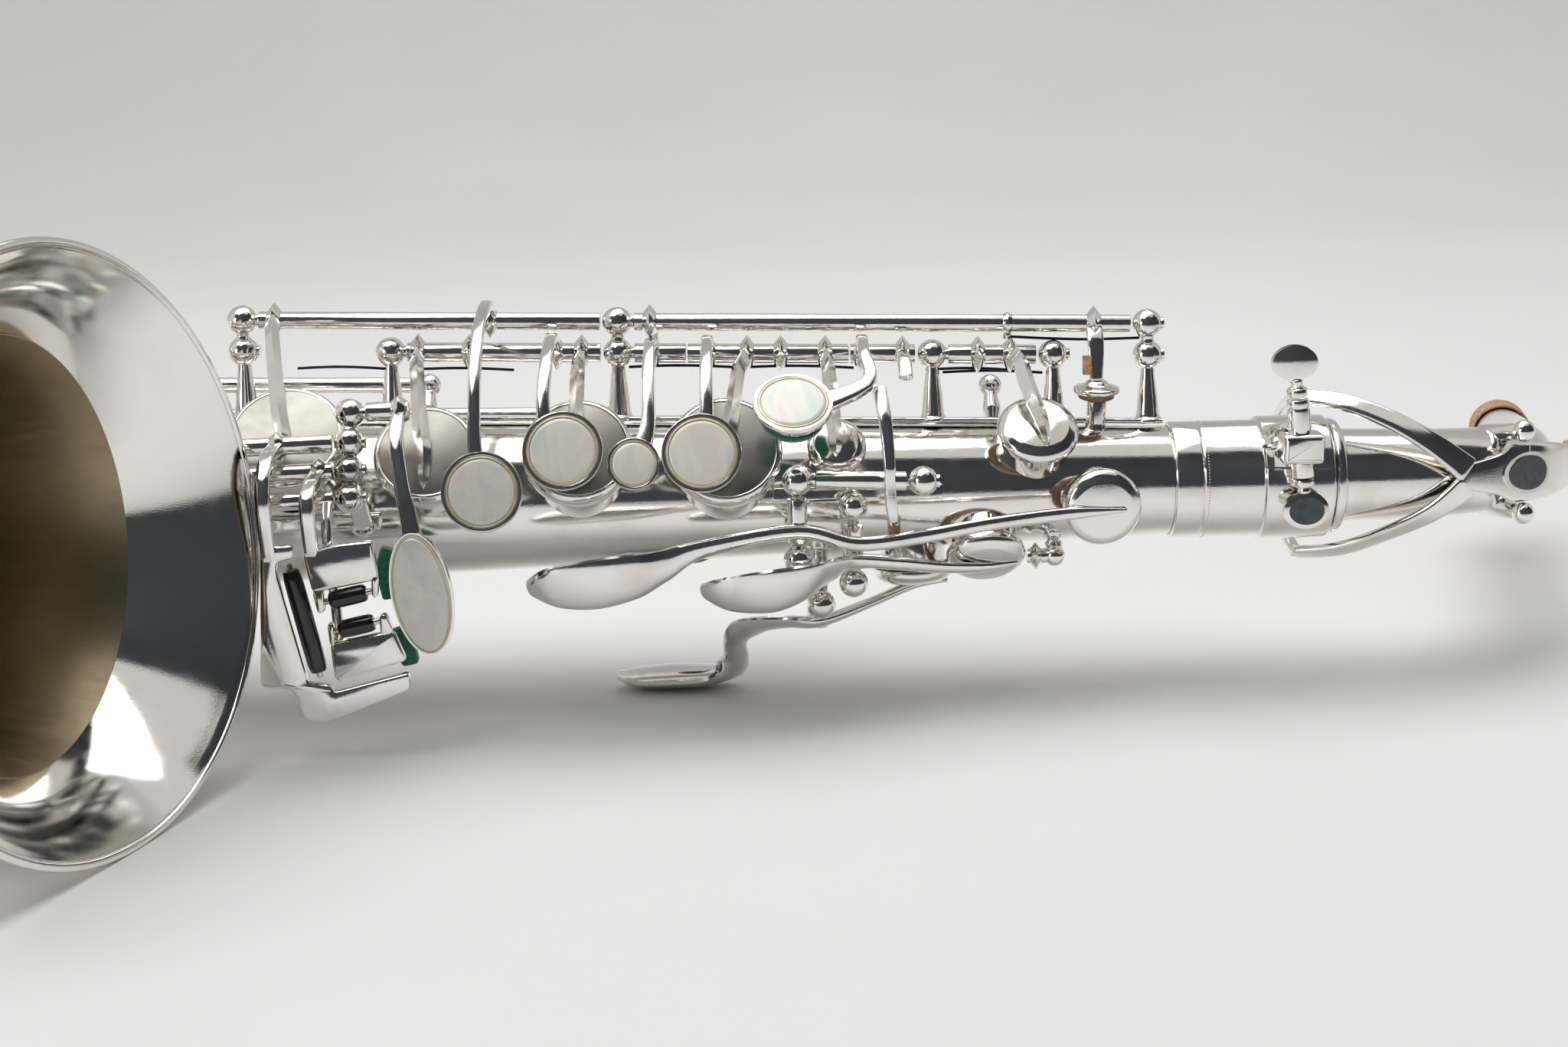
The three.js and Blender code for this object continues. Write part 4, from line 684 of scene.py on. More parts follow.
UPPER_POSTS = [-254.5, -167.6, -44.5]
LOWER_POSTS = [-268.5, -300.5, -366, -400]
LOW_ROD = dict(deg=112, height=15)
LOW_POSTS = [-412.6, -449]
SIDE_RODS = {
    "high_e": dict(deg=128, height=12, posts=[-348, -214, -80]),
    "b_flat": dict(deg=145, height=9, posts=[-354, -170]),
    "c": dict(deg=160, height=15, posts=[-360, -136]),
}
SIDE_RIB = 128


def side_at(line, x):
    return above(x, line["height"], line["deg"])


def ribs():
    shells = [strip(-260, -41.6, RIB_ANGLE, 2.8)]
    for x in UPPER_POSTS:
        shells += rib_post(x, RIB_ANGLE, [INNER_ROD, OUTER_ROD])
    for x in [-220.4, -94.6, -66.5]:
        shells += rib_post(x, RIB_ANGLE, [INNER_ROD])
    make("upper_rib_posts", shells, SILVER, node="upper_stack_rib")

    shells = [strip(-406, -264, RIB_ANGLE, 2), strip(-450.5, -402, LOW_ROD["deg"] - 7, 2.8)]
    for x in LOWER_POSTS:
        shells += rib_post(x, RIB_ANGLE, [INNER_ROD])
    for x in LOW_POSTS:
        shells += rib_post(x, LOW_ROD["deg"], [LOW_ROD["height"]])
    make("lower_rib_posts", shells, SILVER, node="lower_stack_rib")

    shells = [strip(-364, -76, SIDE_RIB, 1.8)]
    for line in SIDE_RODS.values():
        for x in line["posts"]:
            shells += post(None, above(x, 2, SIDE_RIB), [side_at(line, x)], 2.2, 2.8)
    make("side_rib_posts", shells, SILVER, node="side_key_rib")


def needle(name, points):
    """A blued spring wire between a post and its key."""
    make(name, [loft(points, 0.33, 0.33, V(0, -0.3, 1), ROUND, 6)], BLUED)


def springs():
    for i, (x0, x1, height, deg) in enumerate([
            (-242, -222, 12.6, 97), (-216, -192, 12.4, 97), (-165, -140, 13.2, 97),
            (-139, -113, 13.2, 97),
            (-96, -76, 12.8, 97), (-92, -69, 12.2, 99), (-299, -283, 12.6, 97),
            (-364, -350, 12.6, 97)]):
        points = [above(x0 + (x1 - x0) * k / 5, height + 0.4 * sin(pi * k / 5), deg) for k in range(6)]
        needle(f"needle_spring_{i + 1}", points)
    needle("octave_spring", [above(x, h, 97) for x, h in [(-77, 20.6), (-68, 20.2), (-58, 20.0),
                                                          (-46.5, 20.4)]])


# ---- arms, pearls and their holders --------------------------------------------------------------
def arm(x, steps, half_width=1.5, half_depth=1.4, shift=0.0, section=RIDGE):
    last = len(steps) - 1
    points = [around(x + shift * i / last, r, deg) for i, (deg, r) in enumerate(steps)]
    return loft(points, half_width, half_depth, [normal_at(deg) for deg, _ in steps], section)


def cup_arm(x, hole, lift, height=INNER_ROD, deg=RIB_ANGLE, beyond=14.0):
    """A ridged arm that runs from its rod across the cup and tapers to a needle point."""
    top = cup_top(hole, lift) + 0.1
    start = body_radius(x) + height
    side = math.copysign(1, hole["deg"] - deg)
    gap = abs(hole["deg"] - deg)
    steps = [(deg, start), (deg + side * gap * 0.3, max(start, top) - 0.2),
             (hole["deg"] - side * 14, top + 1.6),
             (hole["deg"], top + 1.1), (hole["deg"] + side * beyond * 0.6, top + 0.7),
             (hole["deg"] + side * beyond, top + 0.3)]
    shares = [0, 0.3, 0.7, 1, 1, 1]
    points = [around(x + (hole["x"] - x) * shares[i], r, a) for i, (a, r) in enumerate(steps)]
    return loft(points, [1.5, 1.5, 1.7, 1.5, 1.1, 0.25], [1.3, 1.3, 1.3, 1.1, 0.8, 0.2],
                [normal_at(a) for a, _ in steps], RIDGE)


def holder(at, n, scale=1.0):
    """The round tray under a pearl."""
    profile = [(0, -2.6), (6.0, -1.9), (8.4, -0.4), (8.9, 1.0), (8.7, 1.8), (7.9, 1.8), (7.6, 0.9),
               (7.5, 0.4), (0, 0.4)]
    return lathe([(r * scale, h) for r, h in profile], at, n, 56, cut=0.3)


def pearl(name, at, n, scale, body):
    """A mother of pearl button and its edge ring."""
    r = 7.25 * scale
    disc = [(0, 0.75), (r, 0.75), (r, 1.7), (r - 0.7, 2.05), (r * 0.5, 2.25), (0, 2.3)]
    make(name + "_disc", [lathe(disc, at, n, 56, cut=0.3)], PEARL, body, name)
    edge = [(r + 0.02, 0.5), (7.86 * scale, 0.5), (7.8 * scale, 1.6), (r + 0.3, 1.85), (r + 0.02, 1.85)]
    make(name + "_ring", [lathe(edge, at, n, 56, closed=True, cut=0.1)], GILT, body)


TOUCH = {
    "front_f": (V(-127.4, -29.5, 25.2), 55, 1),
    "b": (V(-147.6, -32.5, 15.9), 24, 1),
    "bis": (V(-162.6, -31.5, 13.7), 22, 0.66),
    "c": (V(-177.8, -33, 17.3), 24, 1),
    "g": (V(-195.2, -38.5, 10), 16, 1),
    "f": (above(-322, 24, 64), 70, 1),
    "e": (above(-349, 24, 64), 70, 1),
    "d": (above(-377, 24, 64), 70, 1),
}


def holder_of(name):
    at, deg, scale = TOUCH[name]
    return holder(at, normal_at(deg), scale)


def touch_arm(x, name, height, steps, section=FLAT):
    """The arm from a rod to the back of a pearl holder."""
    at, deg, _ = TOUCH[name]
    back = at - normal_at(deg) * 1.6
    path = [rod_at(x, height)] + [around(x, r, a) for a, r in steps] + [back]
    flats = [V(0, p.y, p.z).normalized() for p in path]
    widths = [1.4] * (len(path) - 2) + [1.7, 3.0]
    return loft(path, widths, [1.2] * (len(path) - 1) + [0.9], flats, section)


def felt_under(name, drop=2.7):
    at, deg, scale = TOUCH[name]
    n = normal_at(deg)
    return lathe([(0, -2.4), (6.4 * scale, -2.4), (7.2 * scale, -1.2), (7.2 * scale, -0.4), (0, -0.2)],
                 at - n * (drop - 0.7), n, 32)


def collars(xs, height=INNER_ROD, deg=RIB_ANGLE, r=ROD_RADIUS):
    return [collar(rod_at(x, height, deg), rod_axis(deg), r) for x in xs]


def left_hand_stack():
    b_cup, vent_cup = cup(HOLES["b"], OPEN_LIFT), cup(HOLES["vent"], OPEN_LIFT, True)
    key("b_key", [
        key_tube(-151.4, -114), b_cup[0], vent_cup[0], *collars([-137.6, -146.5, -129.8, -119.5]),
        cup_arm(-137.6, HOLES["b"], OPEN_LIFT), cup_arm(-119.5, HOLES["vent"], OPEN_LIFT, beyond=8),
        holder_of("b"), touch_arm(-146.5, "b", INNER_ROD, [(84, 36.5), (60, 38), (40, 36)]),
    ], cup_extras([b_cup, vent_cup]) + [("felt", FELT, [felt_under("b")])])
    key("bis_key", [
        key_tube(-163.7, -151.8), holder_of("bis"), *collars([-159.6]),
        touch_arm(-159.6, "bis", INNER_ROD, [(84, 36), (62, 34.5), (40, 32)]),
    ], [("felt", FELT, [felt_under("bis", 2.9)])])
    c_cup = cup(HOLES["c"], OPEN_LIFT)
    key("c_key", [
        key_tube(-199.4, -171.5), c_cup[0], cup_arm(-176, HOLES["c"], OPEN_LIFT),
        *collars([-176, -182]),
        holder_of("c"), touch_arm(-182, "c", INNER_ROD, [(84, 38), (60, 39.5), (40, 37.5)]),
    ], cup_extras([c_cup]) + [("felt", FELT, [felt_under("c")])])
    key("front_f_key", [
        key_tube(-113.6, -98.6), holder_of("front_f"), *collars([-111.2, -101.5]),
        touch_arm(-111.2, "front_f", INNER_ROD, [(86, 35.5), (66, 37.5), (50, 37.5)]),
        arm(-101.5, [(98, 30.8), (84, 31), (70, 29.6)], 1.6, 0.9, section=FLAT),
    ], [("felt", FELT, [felt_under("front_f", 2.9)])])
    g_sharp_cup = cup(HOLES["g_sharp"], SHUT_LIFT)
    key("g_sharp_key", [
        key_tube(-216.5, -199.8), g_sharp_cup[0], *collars([-214, -202]),
        cup_arm(-214, HOLES["g_sharp"], SHUT_LIFT, beyond=26),
    ], cup_extras([g_sharp_cup]))
    g_cup = cup(HOLES["g"], OPEN_LIFT)
    key("g_key", [
        key_tube(-250.6, -171.5, OUTER_ROD, RIB_ANGLE, 2.1), g_cup[0],
        cup_arm(-247, HOLES["g"], OPEN_LIFT, OUTER_ROD), *collars([-247, -197], OUTER_ROD, r=2.1),
        holder_of("g"), touch_arm(-197, "g", OUTER_ROD, [(90, 45), (66, 44.5), (44, 41), (28, 37)]),
    ], cup_extras([g_cup]))
    for name, body in [("b", "b_key"), ("bis", "bis_key"), ("c", "c_key"), ("front_f", "front_f_key"),
                       ("g", "g_key")]:
        at, deg, scale = TOUCH[name]
        pearl(name + "_pearl", at, normal_at(deg), scale, body)


# ---- G sharp lever -------------------------------------------------------------------------------
OVAL_AT = V(-208.6, -43.4, -10.6)


def oval(half_x, half_z, layers):
    """An upright oval button that faces the viewer, from (height, inset) layers."""
    lean = radians(7)
    rings = []
    for height, inset in layers:
        if inset is None:
            rings.append([OVAL_AT + V(0, -height, 0)])
            continue
        ring = []
        for a in turns(72):
            u, v = (half_x - inset) * cos(a), (half_z - inset) * sin(a)
            ring.append(OVAL_AT + V(u * cos(lean) - v * sin(lean), -height, u * sin(lean)
                                    + v * cos(lean)))
        rings.append(ring)
    return skin(rings)


def g_sharp_lever():
    tray = oval(6.7, 13.9, [(-0.8, None), (-0.8, 2.0), (0, 0.5), (0.8, 0), (2.3, 0.1), (2.3, 0.5),
                            (1.6, 0.75), (1.6, None)])
    path = [left_at("g_sharp", -214), V(-214, -33, 22), V(-212.6, -38.6, 13), V(-210.6, -41.6, 3),
            V(-209.4, -42.6, -6)]
    key("g_sharp_lever", [
        rod(left_at("g_sharp", -221.2), left_at("g_sharp", -212), 2.2), tray,
        loft(path, [1.5, 1.6, 1.7, 2, 3], 1.2, V(0, -1, 0.4)),
        collar(left_at("g_sharp", -214), ALONG, 2.2, 1.4),
    ])
    disc = oval(5.9, 13.0, [(1.4, None), (1.4, 0), (2.6, 0), (3.2, 0.5), (3.5, 2.2), (3.6, None)])
    make("g_sharp_pearl_disc", [disc], PEARL, "g_sharp_lever", "g_sharp_pearl")
    edge = oval(6.2, 13.3, [(1.5, None), (1.5, 0.02), (2.9, 0.02), (2.9, 0.3), (2.6, 0.4), (2.6, None)])
    make("g_sharp_pearl_ring", [edge], GILT, "g_sharp_lever")
    make("g_sharp_felt", [loft([V(-216.2, -40.4, -2), V(-217.2, -40.4, -6), V(-216.4, -40.4, -12)],
                               1.6, 1.5, V(0, -1, 0)),
                          loft([V(-214.6, -40.6, -20), V(-213.4, -40.6, -24), V(-212.8, -40.6, -27)],
                               2.0, 1.6, V(0, -1, 0))],
         FELT, "g_sharp_lever")


LINK_RODS = [V(-126.5, -28, 8.6), V(-98.9, -28, 7.6)]


def front_f_link():
    def at(x):
        return LINK_RODS[0].lerp(LINK_RODS[1], (x - LINK_RODS[0].x) / (LINK_RODS[1].x - LINK_RODS[0].x))

    x = -106.5
    key("front_f_link", [
        rod(at(-122.7), at(-102.7), 2.1),
        loft([V(x - 1.6, -21.6, 27.2), V(x - 0.6, -27.6, 21), V(x, -31, 12), at(x) + V(0, -2.4, 0),
              V(x + 0.4, -30.6, 2), V(x + 0.8, -28.6, -1)],
             [1.6, 1.5, 1.3, 1.3, 1.3, 1.2], [1, 1.1, 1.2, 1.4, 1.4, 1.6], V(0, -1, 0.2)),
    ], [("cork", CORK, [loft([V(x + 0.9, -27.8, -0.6), V(x + 1, -27.2, -3.6)], 1.4, 1.6,
                             V(0, -1, 0))])])


# ---- octave mechanism ----------------------------------------------------------------------------
def octave_keys():
    seat = above(PIP["x"], PIP["height"] + 0.4, PIP["deg"])
    n = normal_at(PIP["deg"])
    key("body_octave_key", [
        key_tube(-163.6, -48.5, OUTER_ROD, RIB_ANGLE, 2.1),
        *collars([PIP["x"], -160], OUTER_ROD, r=2.1),
        collar(rod_at(-77, OUTER_ROD), rod_axis(), 2.1, 0.5, 1.2),
        rod(rod_at(-77, OUTER_ROD), rod_at(-77, 20), 1.1),
        lathe([(0, 1.4), (5.0, 1.4), (5.4, 1.8), (5.4, 2.8), (3, 3.4), (2.2, 4.4), (0, 4.6)], seat, n,
              40),
        loft([rod_at(PIP["x"], OUTER_ROD), above(PIP["x"], 19, 91), above(PIP["x"], 10.5, PIP["deg"])],
             [1.9, 1.9, 1.5], 1.1, V(0, -1, 0.2)),
        loft([rod_at(-160, OUTER_ROD), above(-160, 24, 112), above(-160, 19, 128)], 1.4, 1.2,
             [normal_at(100), normal_at(112), normal_at(128)]),
    ], [("pad", LEATHER, [lathe([(0, 0), (3.6, 0), (4.2, 0.4), (4.2, 1.6), (0, 1.6)], seat, n, 32)]),
        ("cork", CORK, [rod(above(PIP["x"] - 1.6, 16.6, 90.5), above(PIP["x"] - 1.6, 12.2, 89), 1.5,
                            12)])])

    key("octave_thumb_lever", [
        rod(above(-128, 8, 162), above(-46, 8, 162), 2),
        loft([above(-126, 8, 162), above(-127, 12.5, 178), above(-129, 13.5, 198),
              above(-131, 12, 222)],
             [1.8, 4, 6.5, 4], 1.1, normals(170, 178, 198, 216)),
        loft([above(-48, 8, 162), above(-40, 8.5, 170), above(-28, 8.2, 178), above(-17, 8.4, 180)],
             1.4, 1.2,
             normals(162, 170, 178, 180)),
    ])
    rest = [(0, 0.5), (6, 0.5), (7.6, 3), (7.2, 5), (5, 6.2), (0, 6.8)]
    make("thumb_rest_pad", [lathe(rest, above(-152, 0, 226), normal_at(226), 48, cut=0.8)], BLACK,
         node="thumb_rest")


# ---- high E key and the right hand side keys -----------------------------------------------------
def side_keys():
    e_cup = cup(HOLES["high_e"], SHUT_LIFT, True)
    key("high_e_key", [
        key_tube(-90.9, -70.5), e_cup[0], *collars([-76.5, -84]),
        loft([around(-76.5, 29.8, 98), around(-75.4, 31.6, 80), around(-74, 28.2, 66),
              around(-72, 25.4, 54),
              around(-70.8, 24.2, 43), around(-70.2, 23.2, 35)], [1.5, 1.6, 1.9, 1.7, 1.2, 0.3],
             [1.3, 1.4, 1.6, 1.4, 0.9, 0.3], normals(98, 80, 66, 54, 43, 35), RIDGE),
        arm(-84, [(98, 30), (108, 31.2), (117, 30.4)], 1.6, 1.2),
    ], cup_extras([e_cup]))

    def touch(x, deg, height):
        n = normal_at(deg)
        across = ALONG.cross(n)
        rings = []
        for r, h in soft([(0, 0), (5.2, 0.4), (6, 1.4), (4, 2.5), (0, 3)], 0.5):
            count = 1 if r == 0 else 40
            rings.append([above(x, height, deg) + n * h + ALONG * (r * 1.35 * cos(a))
                          + across * (r * 0.8 * sin(a)) for a in turns(count)])
        return skin(rings)

    def side_lever(line, x0, x1, touch_x, touch_deg, touch_height):
        near = (line["deg"] + touch_deg) / 2
        return [
            rod(side_at(line, x0), side_at(line, x1), 1.9), touch(touch_x, touch_deg, touch_height),
            collar(side_at(line, touch_x), rod_axis(line["deg"]), 1.9, 0.9),
            loft([side_at(line, touch_x), above(touch_x, (line["height"] + touch_height) / 2 + 3, near
                                                + 3),
                  above(touch_x, touch_height + 1.2, touch_deg)], 2, 1.3,
                 [normal_at(line["deg"]), normal_at(near), normal_at(touch_deg)]),
        ]

    def side_arm(hole, line):
        top = cup_top(hole, SHUT_LIFT)
        start = body_radius(hole["x"]) + line["height"]
        return arm(hole["x"] + 6, [(line["deg"], start),
                                   ((line["deg"] + hole["deg"]) / 2, (start + top) / 2 + 1.2),
                                   (hole["deg"], top + 0.4), (hole["deg"] + 12, top + 0.1)], 1.4, 1.1,
                   -6)

    e_line, b_line, c_line = (SIDE_RODS[name] for name in ("high_e", "b_flat", "c"))
    key("side_high_e_lever", side_lever(e_line, -344.8, -217.2, -302, 112, 17))
    for name, hole, line, ends, touch_at in [
            ("side_b_flat_key", HOLES["side_b_flat"], b_line, (-350.8, -173.2), (-341, 130, 19)),
            ("side_c_key", HOLES["side_c"], c_line, (-356.8, -139.2), (-322, 143, 19))]:
        shut = cup(hole, SHUT_LIFT)
        key(name, side_lever(line, *ends, *touch_at) + [shut[0], side_arm(hole, line)],
            cup_extras([shut]))


# ---- palm keys -----------------------------------------------------------------------------------
PALM = {
    "d": dict(x=-127, deg=-1, spread=9, height=13.5),
    "e_flat": dict(x=-114.5, deg=-19, spread=10.3, height=9.5),
    "f": dict(x=-122, deg=-66, spread=9, height=13.5),
}


def palm_hinge(name, shift=0.0):
    """The hinge of a palm key, or a share of the way to one of its posts."""
    p = PALM[name]
    across = V(0, sin(radians(p["deg"])), cos(radians(p["deg"])))
    return above(p["x"], p["height"], p["deg"]) + across * (p["spread"] * shift)


def palm_posts():
    shells = []
    for name in PALM:
        for side in (-1, 1):
            top = palm_hinge(name, side)
            shells += post(None, above(PALM[name]["x"], 1.6, angle_of(top)), [top], 2.6, 3.3)
    for at in LINK_RODS:
        shells += post(ALONG, above(at.x, 1.6, angle_of(at)), [at], 2.4, 3.3)
    shells.append(strip(-132, -94, 8, 1.8))
    base = [above(-121, 1.3, deg) for deg in range(-92, 5, 16)]
    shells.append(loft(base, 6.7, 0.6, [V(0, p.y, p.z).normalized() for p in base]))
    make("palm_posts", shells, SILVER, node="palm_key_posts")
    end = above(-67.8, 5, -52)
    small = post(None, above(-67.8, 0.6, -52), [end], 2.2, 2.5)
    small += [rod(end, end + V(-6.4, 0, 0), 1.7), collar(end + V(-4.4, 0, 0), ALONG, 1.7, 1.5, 1.3)]
    make("palm_f_end_post", small, SILVER)


def palm_keys():
    def lever(name, points, widths, depths, flats, hole):
        shut = cup(HOLES[hole], SHUT_LIFT, True)
        key(name, [rod(palm_hinge(name[5:-4], -0.56), palm_hinge(name[5:-4], 0.56), 2.2), shut[0],
                   loft([V(*p) for p in points], widths, depths, [normal_at(a) for a in flats], ROUND,
                        7)],
            [("pads", LEATHER, [shut[2]])])

    lever("palm_d_key",
          [(-186, -36.5, -12.4), (-181, -38.4, -12), (-172, -40, -11), (-163, -39, -9.6),
           (-157, -37, -8),
           (-148, -34.5, -5), (-127, -31, -2.5), (-114, -31, -5.6), (-100, -28.6, -5),
           (-84, -24.8, -3.4),
           (-66, -22, -2.2), (-53, -21.7, -1.7)],
          [2.5, 5.6, 6.6, 5.8, 4, 2.2, 1.8, 1.7, 1.7, 1.6, 1.5, 0.5],
          [1, 1.7, 2, 1.9, 1.6, 1.3, 1.5, 1.4, 1.3, 1.2, 1, 0.5],
          [-24, -24, -22, -20, -16, -10, -4, -8, -8, -6, -5, -5], "palm_d")
    lever("palm_e_flat_key",
          [(-148, -33.5, -15), (-143, -36, -15.2), (-134, -38, -14.2), (-126, -36, -13),
           (-120, -30.6, -11.8),
           (-114, -25, -11.2), (-104, -22.6, -12.6), (-94, -19.4, -14.6), (-84, -16.6, -15.6),
           (-77, -15.8, -14.8)],
          [2.5, 5.2, 6.2, 5.4, 3.6, 2, 1.8, 1.7, 1.5, 0.5],
          [1, 1.6, 1.9, 1.8, 1.5, 1.4, 1.3, 1.2, 1, 0.5],
          [-30, -30, -28, -28, -26, -26, -30, -36, -44, -44], "palm_e_flat")
    lever("palm_f_key",
          [(-170, 0.5, -44.8), (-165, 0, -45.1), (-156.5, -0.5, -44.8), (-149, -1, -44.6),
           (-144.4, -1.6, -43.4),
           (-142.2, -3.6, -39.8), (-142.2, -6.8, -35), (-140.6, -10.6, -31), (-136.4, -13.2, -28.9),
           (-129.5, -13.8, -28.2), (-122, -12.6, -28.6), (-110, -6.8, -26), (-100, -2.6, -23.2),
           (-92, -2, -22.4)],
          [2.2, 5.6, 6.4, 5.8, 4.6, 3.2, 2.8, 3.6, 4.2, 3.2, 2.2, 1.6, 1.6, 0.5],
          [1.2, 2.3, 2.6, 2.5, 2.2, 1.8, 1.6, 1.5, 1.4, 1.4, 1.4, 1.2, 1.1, 0.5],
          [-88, -88, -88, -84, -62, -24, -20, -34, -54, -62, -66, -76, -84, -84], "palm_f")


# ---- left hand table and the low keys on the bell ------------------------------------------------
TABLE_POST_X = -225
LEFT_END_X = -446
LEFT_RODS = {"g_sharp": (-26, 25.7), "b_flat": (-29, 19.8), "c_sharp": (-31, 13.9), "b": (-32.5, 8)}
LEFT_SLOPE = 0.027
LEFT_RIB = -2
PLATE_Y = -44.5
UP = V(0, 0, 1)
FACE = V(0, -1, 0)


def left_at(name, x):
    y, z = LEFT_RODS[name]
    return V(x, y, z + LEFT_SLOPE * (x - TABLE_POST_X))


def left_rib():
    shells = [strip(-450, -221.4, LEFT_RIB, 1.8)]
    for x in (TABLE_POST_X, LEFT_END_X):
        balls = [left_at(name, x) for name in LEFT_RODS]
        shells += [ball(b, 3.3) for b in balls]
        for low, high in zip(balls, balls[1:]):
            shells.append(lathe([(0, -1.6), (2.2, -1.6), (1.6, 0), (2.2, 1.6), (0, 1.6)],
                                low.lerp(high, 0.5), high - low, 20))
        for b in balls:
            end = ALONG if x == TABLE_POST_X else -ALONG
            shells.append(lathe([(0, 0), (1.4, 0), (1.4, 0.7), (0, 0.8)], b + end * 2.95, end, 16,
                                cut=0.15))
        shells += post(None, above(x, 2, LEFT_RIB), [left_at("c_sharp", x)], 2.8, 3.3)
    make("left_rib_posts", shells, SILVER, node="bell_key_rib")


def table_plate(outline, bevel=0.5):
    return slab(outline, 2.2, V(0, PLATE_Y, 0), FACE, UP, bevel)


def roller_tab(outline):
    return table_plate(outline, 0.2)


def bell_cup(index):
    hole = BELL_HOLES[index]
    at, n, _ = bell_seat(hole["u"], CHIMNEY + OPEN_LIFT + 1)
    return cup_shells(at, n, hole["r"] + CUP_LIP)


def bell_arm(name, index):
    hole = BELL_HOLES[index]
    x = bell_point(hole["u"])[0].x
    at, n, _ = bell_seat(hole["u"], CHIMNEY + OPEN_LIFT + 1 + CUP_DEPTH)
    start = left_at(name, x)
    return loft([start, V(x, -38.4, start.z + 6), V(x, -39.5, 32), V(x, -46, 47),
                 V(x, at.y + 16, at.z + 2.2), at + n * 0.3],
                1.8, 1.4, [V(0, -1, 1), V(0, -1, 0.6), V(0, -1, 0.1), V(0, -0.7, 1), n, n])


def left_table():
    def tube(name):
        return rod(left_at(name, -442.4), left_at(name, -228.6), 2)

    def drop(name, x, y, z):
        start = left_at(name, x)
        return loft([start, V(x, (start.y + y) / 2 - 4, start.z - 1),
                     V(x, y - 1.5, (start.z + z) / 2 + 3), V(x, y, z)],
                    1.6, 1.3, V(0, -1, 0.4))

    b_flat_cup, b_cup = bell_cup(1), bell_cup(0)
    key("low_b_flat_key", [
        tube("b_flat"), drop("b_flat", -240.8, PLATE_Y - 1, -2),
        collar(left_at("b_flat", -240.8), ALONG, 2, 1.2),
        table_plate([(-242.3, 0.9), (-235.4, 1.2), (-235.3, -1.7), (-239.2, -2.6), (-239.3, -5),
                     (-234.6, -28),
                     (-234.3, -29.8), (-229.4, -30.4), (-229, -32), (-212.2, -27.9), (-212.2, -31.9),
                     (-230.4, -38.9),
                     (-235.6, -38.1), (-238, -31.2), (-243.9, -30.6), (-244.7, -29.5)]),
        b_flat_cup[0], bell_arm("b_flat", 1),
    ], cup_extras([b_flat_cup]))
    key("low_c_sharp_lever", [
        tube("c_sharp"), drop("c_sharp", -231.6, PLATE_Y - 1, -1),
        collar(left_at("c_sharp", -231.6), ALONG, 2, 1.2),
        table_plate([(-233.4, -1), (-225.8, 1.1), (-218.3, 1.7), (-217.5, -6.9), (-231.9, -9.5)]),
        roller_tab([(-219, -6), (-217.5, -6), (-217.9, -10.8), (-219.1, -10.8)]),
        roller_tab([(-231.9, -9), (-229.5, -8.6), (-229.6, -13.9), (-231, -14.2)]),
        loft([left_at("c_sharp", -420), V(-420, -38.4, 6), V(-420, -38.4, -8), V(-420, -33.6, -15)],
             1.6, 1.3,
             [V(0, -0.4, 1), V(0, -1, 0.5), V(0, -1, -0.3), V(0, -1, -0.6)]),
    ])
    key("low_b_key", [
        tube("b"),
        loft([left_at("b", -230), V(-229.4, -38.4, 1), V(-228.6, -38.6, -14),
              V(-227, PLATE_Y - 0.4, -24)], 1.2, 1.2,
             V(0, -1, 0.2)),
        table_plate([(-228.9, -20.9), (-215, -18.4), (-212.5, -25.2), (-227.5, -29.6),
                     (-228.6, -28.6)]),
        roller_tab([(-229.2, -16.4), (-227.9, -16.4), (-227.9, -21.6), (-228.9, -21.4)]),
        roller_tab([(-217.8, -14.8), (-216.4, -14.6), (-214.9, -18.8), (-217.8, -19.6)]),
        b_cup[0], bell_arm("b", 0),
    ], cup_extras([b_cup]))

    def roller(name, body, x0, z0, x1, z1, r):
        a, b = V(x0, PLATE_Y - 1.1, z0), V(x1, PLATE_Y - 1.1, z1)
        length = (b - a).length
        profile = [(0, 0), (r * 0.8, 0), (r * 0.96, length * 0.08), (r, length * 0.3),
                   (r, length * 0.7),
                   (r * 0.96, length * 0.92), (r * 0.8, length), (0, length)]
        make(name + "_barrel", [lathe(profile, a, b - a, 36, cut=0.4)], BLACK, name, name)
        make(name + "_spindle", [rod(a - (b - a).normalized() * 1.4, b + (b - a).normalized() * 1.4,
                                     0.7, 12)], AGED, body)

    roller("table_roller_long", "low_b_flat_key", -236.4, -4.4, -231.9, -27.4, 2.1)
    roller("table_roller_upper", "low_c_sharp_lever", -228.4, -11.5, -220.4, -9.8, 2)
    roller("table_roller_lower", "low_b_key", -226.8, -18.1, -219.2, -16.5, 2)

    hinge_y, hinge_z = -26, -23
    hole = HOLES["c_sharp"]
    top = cup_top(hole, SHUT_LIFT) + 0.6
    shut = cup(hole, SHUT_LIFT)
    key("low_c_sharp_key", [
        rod(V(-444, hinge_y, hinge_z), V(-408, hinge_y, hinge_z), 2), shut[0],
        loft([V(-420, hinge_y, hinge_z), V(-420, -28, -17.4), V(-420, -29.4, -14)], 1.5, 1.2,
             V(0, -1, -0.2)),
        loft([V(-428, hinge_y, hinge_z), around(-428, top + 1, -62), around(-428, top + 0.8, -78),
              around(-428, top, -98)],
             1.6, 1.2, normals(-50, -62, -78, -98)),
    ], cup_extras([shut]))


